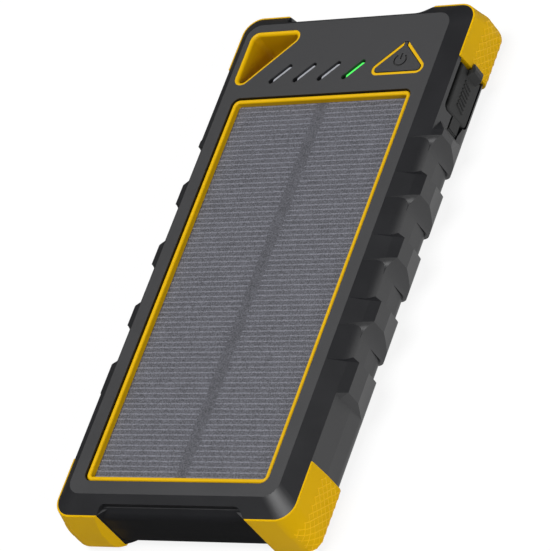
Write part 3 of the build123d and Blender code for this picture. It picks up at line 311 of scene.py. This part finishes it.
def built(name, work, finishes, mesh=None):
    """Object from a worked mesh, with a slot for each named finish."""
    mesh = mesh or bpy.data.meshes.new(name)
    work.to_mesh(mesh)
    work.free()
    for finish in finishes:
        mesh.materials.append(finish_named(finish))
    return link(name, mesh)


def merged_copy(node, name, finishes):
    """Closed copy of a CAD node's mesh, with its loose triangles joined."""
    mesh = NODES[node].data.copy()
    mesh.name = name
    mesh.materials.clear()
    work = bmesh.new()
    work.from_mesh(mesh)
    bmesh.ops.remove_doubles(work, verts=work.verts, dist=MERGE_DISTANCE)
    bmesh.ops.dissolve_limit(work, angle_limit=FLAT_ANGLE, verts=work.verts, edges=work.edges)
    return built(name, work, finishes, mesh)


def turned(profile, sides):
    """Closed body turned round Z from a profile of radius and height."""
    work = bmesh.new()
    rings = []
    for radius, z in profile:
        if radius == 0:
            rings.append([work.verts.new((0, 0, z))])
        else:
            rings.append([work.verts.new((radius * math.cos(math.tau * i / sides),
                                          radius * math.sin(math.tau * i / sides), z))
                          for i in range(sides)])
    for lower, upper in zip(rings, rings[1:]):
        for i in range(sides):
            j = (i + 1) % sides
            if len(lower) == 1:
                work.faces.new((lower[0], upper[j], upper[i]))
            elif len(upper) == 1:
                work.faces.new((lower[i], lower[j], upper[0]))
            else:
                work.faces.new((lower[i], lower[j], upper[j], upper[i]))
    bmesh.ops.recalc_face_normals(work, faces=work.faces)
    return work


def apply_modifiers(obj):
    """Makes an object's modifiers part of its mesh."""
    bpy.context.view_layer.update()
    graph = bpy.context.evaluated_depsgraph_get()
    mesh = bpy.data.meshes.new_from_object(obj.evaluated_get(graph))
    obj.modifiers.clear()
    obj.data = mesh


def soften(obj, width):
    """Rounds an object's sharp edges a little, as a mould leaves them."""
    bevel = obj.modifiers.new("soft_edges", "BEVEL")
    bevel.width = width
    bevel.segments = 2
    bevel.limit_method = "ANGLE"
    bevel.angle_limit = SHARP_ANGLE
    bevel.use_clamp_overlap = False
    even = obj.modifiers.new("even_shading", "WEIGHTED_NORMAL")
    even.keep_sharp = True
    obj.data.shade_smooth()
    obj.data.set_sharp_from_angle(angle=SHARP_ANGLE)
    apply_modifiers(obj)


def cut_away(obj, cutter, crossing=False):
    """Cuts a cutter out of an object and drops it; crossing is for one that cuts itself."""
    cut = obj.modifiers.new("cut", "BOOLEAN")
    cut.operation = "DIFFERENCE"
    cut.solver = "EXACT"
    cut.use_self = crossing
    cut.object = cutter
    apply_modifiers(obj)
    bpy.data.objects.remove(cutter)


def polylines(name, runs):
    """Edge mesh of separate open runs of points."""
    points = [tuple(p) for run in runs for p in run]
    edges = []
    start = 0
    for run in runs:
        edges += [(start + i, start + i + 1) for i in range(len(run) - 1)]
        start += len(run)
    mesh = bpy.data.meshes.new(name)
    mesh.from_pydata(points, edges, [])
    return link(name, mesh)


# ------------------------------------------------------------------ geometry node trees
def start_tree(name, inputs):
    """Geometry node tree and its first node, with named inputs and Finish after them."""
    group = bpy.data.node_groups.new(name, "GeometryNodeTree")
    sockets = group.interface
    sockets.new_socket("Geometry", in_out="INPUT", socket_type="NodeSocketGeometry")
    for title, kind in inputs.items():
        sockets.new_socket(title, in_out="INPUT", socket_type=kind)
    sockets.new_socket("Finish", in_out="INPUT", socket_type="NodeSocketMaterial")
    sockets.new_socket("Geometry", in_out="OUTPUT", socket_type="NodeSocketGeometry")
    return group, group.nodes.new("NodeGroupInput")


def end_tree(group, start, geometry):
    """Makes a tree's instances real and gives them the finish."""
    real = group.nodes.new("GeometryNodeRealizeInstances")
    finish = group.nodes.new("GeometryNodeSetMaterial")
    end = group.nodes.new("NodeGroupOutput")
    group.links.new(geometry, real.inputs[0])
    group.links.new(real.outputs[0], finish.inputs["Geometry"])
    group.links.new(start.outputs["Finish"], finish.inputs["Material"])
    group.links.new(finish.outputs[0], end.inputs[0])
    return group


def raised_line_tree():
    """Turns runs of edges into raised round lines; made once for all the pieces."""
    name = "raised_lines"
    if name in bpy.data.node_groups:
        return bpy.data.node_groups[name]
    group, start = start_tree(name, {"Radius": "NodeSocketFloat", "Sides": "NodeSocketInt"})
    curve = group.nodes.new("GeometryNodeMeshToCurve")
    profile = group.nodes.new("GeometryNodeCurvePrimitiveCircle")
    tube = group.nodes.new("GeometryNodeCurveToMesh")
    tube.inputs["Fill Caps"].default_value = True
    group.links.new(start.outputs["Geometry"], curve.inputs["Mesh"])
    group.links.new(start.outputs["Radius"], profile.inputs["Radius"])
    group.links.new(start.outputs["Sides"], profile.inputs["Resolution"])
    group.links.new(curve.outputs[0], tube.inputs["Curve"])
    group.links.new(profile.outputs[0], tube.inputs["Profile Curve"])
    return end_tree(group, start, tube.outputs[0])


def screw_row_tree():
    """Sets one screw on each point."""
    group, start = start_tree("screw_row", {"Screw": "NodeSocketObject"})
    info = group.nodes.new("GeometryNodeObjectInfo")
    spread = group.nodes.new("GeometryNodeInstanceOnPoints")
    group.links.new(start.outputs["Screw"], info.inputs["Object"])
    group.links.new(start.outputs["Geometry"], spread.inputs["Points"])
    group.links.new(info.outputs["Geometry"], spread.inputs["Instance"])
    return end_tree(group, start, spread.outputs[0])


def run_tree(obj, group, values):
    """Runs a geometry node tree on an object and keeps the result as its mesh."""
    modifier = obj.modifiers.new(group.name, "NODES")
    modifier.node_group = group
    for item in group.interface.items_tree:
        if item.in_out == "INPUT" and item.name in values:
            modifier[item.identifier] = values[item.name]
    apply_modifiers(obj)


# ------------------------------------------------------------------ settings
class FinishSettings(bpy.types.PropertyGroup):
    shell: FloatVectorProperty(name="Shell", description="Colour of the black shells",
                               subtype="COLOR", size=3, default=(0.0070, 0.0072, 0.0088))
    yellow: FloatVectorProperty(name="Yellow", description="Colour of bumpers, trim and liner",
                                subtype="COLOR", size=3, default=(0.60, 0.350, 0.0005))
    panel: FloatVectorProperty(name="Panel", description="Colour of the solar panel's silicon",
                               subtype="COLOR", size=3, default=(0.068, 0.069, 0.081))
    line_pitch: FloatProperty(name="Line pitch",
                              description="Spacing of the panel's contact lines",
                              unit="LENGTH", default=1.7 * MM)
    band_width: FloatProperty(name="Band width", description="Plain band down the panel's middle",
                              unit="LENGTH", default=4.0 * MM)
    edge: FloatProperty(name="Edge rounding", description="Rounding of the bumpers' edges",
                        unit="LENGTH", default=0.15 * MM)


class QuiltSettings(bpy.types.PropertyGroup):
    along: FloatProperty(name="Pitch along", description="Width of a diamond round the bumper",
                         unit="LENGTH", default=2.7 * MM)
    up: FloatProperty(name="Pitch up", description="Height of a diamond",
                      unit="LENGTH", default=2.45 * MM)
    top: FloatProperty(name="Top", description="Height at which the diamonds end",
                       unit="LENGTH", default=11.2 * MM)
    bottom: FloatProperty(name="Bottom", description="Height at which the diamonds start",
                          unit="LENGTH", default=1.0 * MM)
    line: FloatProperty(name="Line radius", description="Radius of a raised line",
                        unit="LENGTH", default=0.25 * MM)
    rise: FloatProperty(name="Line rise", description="How far a line stands out",
                        unit="LENGTH", default=0.10 * MM)
    corner: FloatProperty(name="Corner radius", description="Rounding of the bumper in plan",
                          unit="LENGTH", default=5.0 * MM)
    back: FloatProperty(name="Back rounding", description="Rounding of the bumper's back edge",
                        unit="LENGTH", default=3.0 * MM)
    seam: FloatProperty(name="Seam", description="Height from which the bumper leans inwards",
                        unit="LENGTH", default=9.0 * MM)
    turn: FloatProperty(name="Turn", description="How far the diamonds go round the corner",
                        subtype="ANGLE", default=math.radians(68))


class KeySettings(bpy.types.PropertyGroup):
    size: FloatProperty(name="Symbol radius", description="Radius of the engraved standby symbol",
                        unit="LENGTH", default=2.0 * MM)
    line: FloatProperty(name="Symbol line", description="Width of its grooves",
                        unit="LENGTH", default=0.5 * MM)
    depth: FloatProperty(name="Symbol depth", description="Depth of its grooves",
                         unit="LENGTH", default=0.3 * MM)
    up: FloatProperty(name="Symbol height", description="Its middle above the key's base line",
                      unit="LENGTH", default=4.0 * MM)


class GripSettings(bpy.types.PropertyGroup):
    count: IntProperty(name="Bars", description="Raised bars on a port cover",
                       subtype="UNSIGNED", default=7)
    pitch: FloatProperty(name="Bar pitch", description="Spacing of the bars",
                         unit="LENGTH", default=1.35 * MM)
    length: FloatProperty(name="Bar length", description="Length of a bar",
                          unit="LENGTH", default=3.6 * MM)
    slant: FloatProperty(name="Bar slant", description="Lean of a bar",
                         subtype="ANGLE", default=math.radians(18))
    radius: FloatProperty(name="Bar radius", description="Radius of a bar",
                          unit="LENGTH", default=0.45 * MM)


class StageSettings(bpy.types.PropertyGroup):
    key: FloatProperty(name="Key light", description="Power of the softbox behind the object",
                       unit="POWER", default=1.2)
    fill: FloatProperty(name="Top light", description="Power of the softbox above",
                        unit="POWER", default=20.0)
    side: FloatProperty(name="Side light", description="Power of the softbox at the right",
                        unit="POWER", default=6.0)
    world: FloatProperty(name="Room light", description="Strength of the room's light",
                         subtype="FACTOR", min=0.0, default=0.06)


# ------------------------------------------------------------------ operators
class MakeFinishes(bpy.types.Operator):
    """Makes the finishes that the other steps use"""
    bl_idname = "powerbank.make_finishes"
    bl_label = "Make the finishes"

    def execute(self, context):
        finish = context.scene.powerbank_finish
        self.housing(finish)
        self.inside()
        solar_laminate(finish)
        # The unlit clear guides get a faint painted glow, which stands in for the light they
        # catch.
        light_bar("clear_diffuser", (0.36, 0.37, 0.40), glow=0.05)
        light_bar("green_diffuser", (0.06, 0.62, 0.09), glow=0.8)
        return {"FINISHED"}

    def housing(self, finish):
        """Shells, key, bumpers, trim and port covers."""
        for name in ("shell_plastic", "key_plastic"):
            moulded(name, finish.shell, 0.45, grain=3200.0, depth=0.06, specular=0.65)
        # The grooves' plastic is matte, and its darker, less blue colour is painted shade in the
        # engraving.
        moulded("groove_plastic", (0.006, 0.006, 0.006), 0.7, grain=3200.0)
        moulded("bumper_rubber", finish.yellow, 0.5, grain=2600.0, depth=0.06, spread=0.04,
                specular=0.04)
        # The raised lines get the bumpers' yellow lightened by a fifth: a painted highlight for
        # the light their ridges catch.
        moulded("quilt_rubber", [part * 1.2 for part in finish.yellow], 0.45, grain=2600.0,
                depth=0.06, spread=0.04, specular=0.1)
        moulded("trim_plastic", finish.yellow, 0.42, grain=2600.0, depth=0.05, spread=0.04,
                specular=0.12)
        moulded("cover_rubber", (0.015, 0.0155, 0.0155), 0.55, grain=3400.0, depth=0.1,
                specular=0.3)

    def inside(self):
        """Sockets, screws, boards and cells."""
        moulded("component_plastic", (0.012, 0.012, 0.013), 0.5)
        moulded("contact_plastic", (0.02, 0.02, 0.02), 0.5)
        moulded("foil_pouch", (0.6, 0.61, 0.63), 0.35, grain=900.0, depth=0.4, spread=0.06,
                metallic=1.0)
        moulded("foam_pad", (0.05, 0.05, 0.05), 0.9, grain=1800.0, depth=0.6)
        moulded("wire_insulation", (0.5, 0.02, 0.015), 0.4)
        moulded("lamp_resin", (0.75, 0.72, 0.55), 0.3)
        circuit_mask("circuit_green", (0.01, 0.11, 0.045))
        brushed("socket_steel", (0.62, 0.62, 0.63), 0.3)
        brushed("screw_steel", (0.16, 0.16, 0.165), 0.38)
        brushed("capacitor_can", (0.72, 0.72, 0.72), 0.25)


class DressNodes(bpy.types.Operator):
    """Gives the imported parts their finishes"""
    bl_idname = "powerbank.dress_nodes"
    bl_label = "Dress the packed parts"

    COATS = {
        "shell_plastic": ("front_shell", "rear_shell"),
        "trim_plastic": ("lanyard_liner", "window_trim", "button_ring"),
        "bumper_rubber": tuple(BUMPERS),
        "solar_laminate": ("solar_cover", "solar_cells"),
        "circuit_green": ("solar_backing_board", "main_circuit_board",
                          "battery_protection_board"),
        "clear_diffuser": ("light_pipes",),
        "green_diffuser": ("light_pipe_lit",),
        "lamp_resin": ("indicator_leds",),
        "key_plastic": ("power_button",),
        "cover_rubber": ("output_port_cover", "input_port_cover"),
        "socket_steel": ("usb_output_socket", "micro_usb_input_socket"),
        "contact_plastic": ("usb_output_tongue", "micro_usb_input_tongue"),
        "component_plastic": ("tact_switch", "switch_stem", "power_inductor", "power_chips"),
        "capacitor_can": ("buffer_capacitors",),
        "screw_steel": ("board_screws", "rear_screws"),
        "foil_pouch": ("battery_cell_lower", "battery_cell_upper"),
        "foam_pad": ("battery_tape", "battery_pads"),
        "wire_insulation": ("battery_leads", "solar_leads"),
    }

    def execute(self, context):
        for finish, nodes in self.COATS.items():
            for node in nodes:
                paint(node, finish_named(finish))
        return {"FINISHED"}


class SoftenBumpers(bpy.types.Operator):
    """Replaces the bumpers with copies that have softly rounded edges"""
    bl_idname = "powerbank.soften_bumpers"
    bl_label = "Soften the bumpers' edges"

    def execute(self, context):
        width = context.scene.powerbank_finish.edge
        for node in BUMPERS:
            piece = merged_copy(node, f"{node}_moulded", ("bumper_rubber",))
            soften(piece, width)
            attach(piece, "housing")
            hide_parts(node)
        return {"FINISHED"}


class QuiltBumpers(bpy.types.Operator):
    """Adds the raised diamond lines round the bumpers"""
    bl_idname = "powerbank.quilt_bumpers"
    bl_label = "Quilt the bumpers"

    LINE_SIDES = 6              # sides of a line's round section
    LINE_STEPS = 26             # stretches of a line from the lowest height to the highest
    MARGIN = 0.6 * MM           # plain strip at a bumper's near end
    # For each unit of height above the seam, a bumper's side and end lean in by this much,
    # and its corner's radius grows by this much.
    SIDE_LEAN = 0.08
    END_LEAN = 0.16
    CORNER_GROWTH = 0.13

    def execute(self, context):
        quilt = context.scene.powerbank_quilt
        group = raised_line_tree()
        for name, (side, end) in BUMPERS.items():
            runs = self.diamonds(quilt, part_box(name), side, end)
            piece = polylines(f"{name}_quilt", runs)
            # The lines wear the lightened yellow, a painted highlight.
            run_tree(piece, group, {"Radius": quilt.line, "Sides": self.LINE_SIDES,
                                    "Finish": finish_named("quilt_rubber")})
            piece.data.shade_smooth()
            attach(piece, "housing")
        return {"FINISHED"}

    def diamonds(self, quilt, box, side, end):
        """Slanting runs both ways over the bumper's long side and corner.

        Each climbs from the bottom height to the top one, and keeps only its points between
        the margin and the end of the quilt round the corner.
        """
        low, high = (Vector(corner) for corner in box)
        outer_x = max(abs(low.x), abs(high.x))
        end_y = max(abs(low.y), abs(high.y))
        near_y = min(abs(low.y), abs(high.y))
        straight = end_y - quilt.corner - near_y
        length = straight + quilt.corner * quilt.turn
        height = quilt.top - quilt.bottom
        shift = height * quilt.along / quilt.up
        count = math.ceil((length + shift) / quilt.along)
        runs = []
        for way in (1, -1):
            for i in range(count + 1):
                first = i * quilt.along - (shift if way > 0 else 0.0)
                run = []
                for step in range(self.LINE_STEPS + 1):
                    z = quilt.bottom + height * step / self.LINE_STEPS
                    along = first + way * (z - quilt.bottom) * quilt.along / quilt.up
                    if self.MARGIN <= along <= length:
                        x, y = self.skin(quilt, outer_x, near_y, end_y, along, z)
                        run.append((side * x, end * y, z))
                if len(run) > 2:
                    runs.append(run)
        return runs

    def skin(self, quilt, outer_x, near_y, end_y, along, z):
        """Where a line's middle lies at a height, this far round from the near end."""
        above = max(0.0, z - quilt.seam)
        corner = quilt.corner + self.CORNER_GROWTH * above
        straight = end_y - corner - near_y
        angle = max(0.0, along - straight) / corner
        inset = self.back_inset(quilt, z) + (quilt.line - quilt.rise)
        inset += above * (self.SIDE_LEAN * math.cos(angle) + self.END_LEAN * math.sin(angle))
        x = outer_x - corner + (corner - inset) * math.cos(angle)
        y = end_y - corner + (corner - inset) * math.sin(angle) + min(0.0, along - straight)
        return x, y

    def back_inset(self, quilt, z):
        """How far in the rounded back edge takes the skin at a height."""
        if z >= quilt.back:
            return 0.0
        return quilt.back * (1 - math.sqrt(max(0.0, 1 - (1 - z / quilt.back) ** 2)))


class EngraveKey(bpy.types.Operator):
    """Cuts the standby symbol into the power key"""
    bl_idname = "powerbank.engrave_key"
    bl_label = "Engrave the power key"

    FINISHES = ("key_plastic", "groove_plastic")
    HALF_GAP = math.radians(38)     # from the middle of the ring's gap to its edge
    ARC_STEPS = 28
    BAR_START, BAR_END = 0.1, 1.15  # along the gap's middle, in ring radii

    def execute(self, context):
        key = context.scene.powerbank_key
        low, high = (Vector(corner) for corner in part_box("power_button"))
        middle = Vector(((low.x + high.x) / 2, low.y + key.up, high.z))
        piece = merged_copy("power_button", "power_key_engraved", self.FINISHES)
        cut_away(piece, self.symbol(key, middle))
        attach(piece, "power_key")
        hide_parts("power_button")
        return {"FINISHED"}

    def symbol(self, key, middle):
        """Open ring with an upright bar in its gap, as a closed cutting body."""
        first = math.pi / 2 + self.HALF_GAP
        sweep = 2 * math.pi - 2 * self.HALF_GAP
        angles = [first + sweep * i / self.ARC_STEPS for i in range(self.ARC_STEPS + 1)]
        arc = [Vector((math.cos(angle), math.sin(angle))) for angle in angles]
        half = key.line / 2
        low, high = key.size * self.BAR_START, key.size * self.BAR_END
        work = bmesh.new()
        self.wall(work, [p * (key.size - half) for p in arc],
                  [p * (key.size + half) for p in arc], middle, key.depth)
        self.wall(work, [Vector((-half, low)), Vector((-half, high))],
                  [Vector((half, low)), Vector((half, high))], middle, key.depth)
        bmesh.ops.recalc_face_normals(work, faces=work.faces)
        # The groove faces take the darker plastic: painted shade in the engraved symbol.
        for face in work.faces:
            face.material_index = self.FINISHES.index("groove_plastic")
        return built("symbol_cutter", work, self.FINISHES)

    def wall(self, work, inner, outer, middle, depth):
        """Closed strip between two rows of points, from the groove's floor to above the key."""
        rings = []
        for row, z in ((inner, -depth), (outer, -depth), (outer, depth), (inner, depth)):
            rings.append([work.verts.new(middle + Vector((p.x, p.y, z))) for p in row])
        for i in range(len(inner) - 1):
            for a in range(4):
                b = (a + 1) % 4
                work.faces.new((rings[a][i], rings[b][i], rings[b][i + 1], rings[a][i + 1]))
        for i in (0, -1):
            work.faces.new([ring[i] for ring in rings])


class RibCovers(bpy.types.Operator):
    """Adds a row of slanting grip bars to each port cover"""
    bl_idname = "powerbank.rib_covers"
    bl_label = "Rib the port covers"

    BAR_SIDES = 8               # sides of a bar's round section
    TAB_OUT = 1.8 * MM          # the pull tab's ridge stands out this far from the plate
    SUNK = 0.25                 # a bar's middle below the plate's face, in bar radii
    MIDDLE = 0.545              # middle of the row, in lengths of the cover with its strap

    def execute(self, context):
        grip = context.scene.powerbank_grip
        group = raised_line_tree()
        for node, body, side in (("output_port_cover", "output_cover", 1),
                                 ("input_port_cover", "input_cover", -1)):
            runs = self.bars(grip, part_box(node), side)
            piece = polylines(f"{node}_bars", runs)
            run_tree(piece, group, {"Radius": grip.radius, "Sides": self.BAR_SIDES,
                                    "Finish": finish_named("cover_rubber")})
            piece.data.shade_smooth()
            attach(piece, body)
        return {"FINISHED"}

    def bars(self, grip, box, side):
        """One slanting run for each bar, in a row along the plate."""
        low, high = (Vector(corner) for corner in box)
        outer_x = max(abs(low.x), abs(high.x))
        x = side * (outer_x - self.TAB_OUT - grip.radius * self.SUNK)
        middle_y = low.y + (high.y - low.y) * self.MIDDLE
        middle_z = (low.z + high.z) / 2
        first = middle_y - grip.pitch * (grip.count - 1) / 2
        half = grip.length / 2
        lean = math.tan(grip.slant) * grip.length / 2
        runs = []
        for i in range(grip.count):
            y = first + i * grip.pitch
            runs.append([(x, y - lean, middle_z - half), (x, y, middle_z),
                         (x, y + lean, middle_z + half)])
        return runs


class FitScrews(bpy.types.Operator):
    """Replaces the rear screws with ones that have a cross recess"""
    bl_idname = "powerbank.fit_screws"
    bl_label = "Fit the rear screws"

    FINISHES = ("screw_steel",)
    SIDES = 32
    HEAD_RADIUS = 2.0 * MM
    HEAD_THICKNESS = 1.1 * MM
    SHANK_RADIUS = 1.0 * MM
    # The head's rounded rim, as parts of its radius and depths below its flat end.
    RIM = ((0.75, 0.0), (0.95, 0.12 * MM), (1.0, 0.35 * MM))
    CROSS = (2.5 * MM, 0.45 * MM, 1.4 * MM)     # a bar of the cross, half of it in the head
    UPPER_X = -10.0 * MM        # upper screw that makes way for the lanyard hole
    MIDDLE_Y = -15.0 * MM

    def execute(self, context):
        low, high = (Vector(corner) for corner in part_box("rear_screws"))
        x, y = high.x - self.HEAD_RADIUS, high.y - self.HEAD_RADIUS
        spots = [(x, y), (self.UPPER_X, y), (x, self.MIDDLE_Y), (-x, self.MIDDLE_Y),
                 (x, -y), (-x, -y)]
        mesh = bpy.data.meshes.new("screw_spots")
        mesh.from_pydata([(a, b, 0.0) for a, b in spots], [], [])
        row = link("rear_screws_crossed", mesh)
        screw = self.screw(low.z, high.z)
        run_tree(row, screw_row_tree(), {"Screw": screw, "Finish": finish_named("screw_steel")})
        bpy.data.objects.remove(screw)
        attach(row, "housing")
        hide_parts("rear_screws")
        return {"FINISHED"}

    def screw(self, z0, z1):
        """One screw, head down, with a cross cut into its head."""
        shoulder = z0 + self.HEAD_THICKNESS
        profile = [(0, z0)]
        profile += [(self.HEAD_RADIUS * part, z0 + depth) for part, depth in self.RIM]
        profile += [(self.HEAD_RADIUS, shoulder), (self.SHANK_RADIUS, shoulder),
                    (self.SHANK_RADIUS, z1 - self.SHANK_RADIUS), (0, z1)]
        screw = built("screw", turned(profile, self.SIDES), self.FINISHES)
        cut_away(screw, self.cross(z0), crossing=True)
        return screw

    def cross(self, z0):
        """Two crossing bars, the cutting body of the recess."""
        work = bmesh.new()
        for turn in (0, math.pi / 2):
            place = Matrix.Translation((0, 0, z0)) @ Matrix.Rotation(turn, 4, "Z")
            bmesh.ops.create_cube(work, size=1.0,
                                  matrix=place @ Matrix.Diagonal((*self.CROSS, 1.0)))
        return built("cross", work, self.FINISHES)


class BuildStage(bpy.types.Operator):
    """Makes the floor, the lamps and the camera"""
    bl_idname = "powerbank.build_stage"
    bl_label = "Build the stage"

    def execute(self, context):
        scene = context.scene
        stage = scene.powerbank_stage
        self.floor()
        self.room(scene, stage.world)
        self.lamp("softbox_back", place=(-0.75, 0.80, 0.95), target=(0, 0.05, 0), size=0.5,
                  power=stage.key)
        self.lamp("softbox_above", place=(-0.2, -0.05, 1.3), target=(0, 0, 0), size=0.6,
                  power=stage.fill)
        self.lamp("softbox_right", place=(1.0, -0.35, 0.4), target=(0, 0, 0), size=0.5,
                  power=stage.side)
        self.camera(scene)
        scene.view_settings.view_transform = "Standard"
        return {"FINISHED"}

    def floor(self):
        """Wide floor, just clear of the object's flat back so that the two don't flicker."""
        half, z = 6.0, -0.1 * MM
        mesh = bpy.data.meshes.new("floor")
        mesh.from_pydata([(-half, -half, z), (half, -half, z), (half, half, z), (-half, half, z)],
                         [], [(0, 1, 2, 3)])
        mesh.materials.append(floor_paper())
        floor = link("floor", mesh)

    def room(self, scene, strength):
        """Even white light from all round."""
        scene.world = bpy.data.worlds.new("studio")
        scene.world.use_nodes = True
        background = scene.world.node_tree.nodes["Background"]
        background.inputs["Color"].default_value = grey(1.0)
        background.inputs["Strength"].default_value = strength

    def lamp(self, name, place, target, size, power):
        """Square softbox that faces its target."""
        light = bpy.data.lights.new(name, "AREA")
        light.shape = "SQUARE"
        light.size = size
        light.energy = power
        obj = link(name, light)
        obj.location = place
        aim = Vector(target) - Vector(place)
        obj.rotation_euler = aim.to_track_quat("-Z", "Y").to_euler()

    def camera(self, scene):
        """Long lens on the whole object, from above its lower right corner."""
        camera = bpy.data.cameras.new("camera")
        camera.lens = CAMERA_LENS
        camera.sensor_width = CAMERA_SENSOR
        camera.clip_start = 0.05
        camera.clip_end = 20.0
        holder = link("camera", camera)
        turn = (Matrix.Rotation(math.pi / 2 + CAMERA_AZIMUTH, 4, "Z")
                @ Matrix.Rotation(math.pi / 2 - CAMERA_ELEVATION, 4, "X")
                @ Matrix.Rotation(CAMERA_ROLL, 4, "Z"))
        holder.matrix_world = (Matrix.Translation(CAMERA_AIM) @ turn
                               @ Matrix.Translation((0, 0, CAMERA_DISTANCE)))
        scene.camera = holder


SETTINGS = {
    "powerbank_finish": FinishSettings,
    "powerbank_quilt": QuiltSettings,
    "powerbank_key": KeySettings,
    "powerbank_grip": GripSettings,
    "powerbank_stage": StageSettings,
}
OPERATORS = (MakeFinishes, DressNodes, SoftenBumpers, QuiltBumpers, EngraveKey, RibCovers,
             FitScrews, BuildStage)


class PowerBankPanel(bpy.types.Panel):
    """Lists the settings and the steps that dress the power bank"""
    bl_idname = "VIEW3D_PT_powerbank"
    bl_label = "Power Bank"
    bl_space_type = "VIEW_3D"
    bl_region_type = "UI"
    bl_category = "Power Bank"

    def draw(self, context):
        for name, settings in SETTINGS.items():
            box = self.layout.box()
            for setting in settings.__annotations__:
                box.prop(getattr(context.scene, name), setting)
        for operator in OPERATORS:
            self.layout.operator(operator.bl_idname)


def register():
    for item in (*SETTINGS.values(), *OPERATORS, PowerBankPanel):
        bpy.utils.register_class(item)
    for name, settings in SETTINGS.items():
        setattr(bpy.types.Scene, name, PointerProperty(type=settings))


def unregister():
    for name in SETTINGS:
        delattr(bpy.types.Scene, name)
    for item in reversed((*SETTINGS.values(), *OPERATORS, PowerBankPanel)):
        bpy.utils.unregister_class(item)


def main():
    register()
    bpy.ops.powerbank.make_finishes()
    bpy.ops.powerbank.dress_nodes()
    bpy.ops.powerbank.soften_bumpers()
    bpy.ops.powerbank.quilt_bumpers()
    bpy.ops.powerbank.engrave_key()
    bpy.ops.powerbank.rib_covers()
    bpy.ops.powerbank.fit_screws()
    bpy.ops.powerbank.build_stage()


if __name__ == "__main__":
    main()
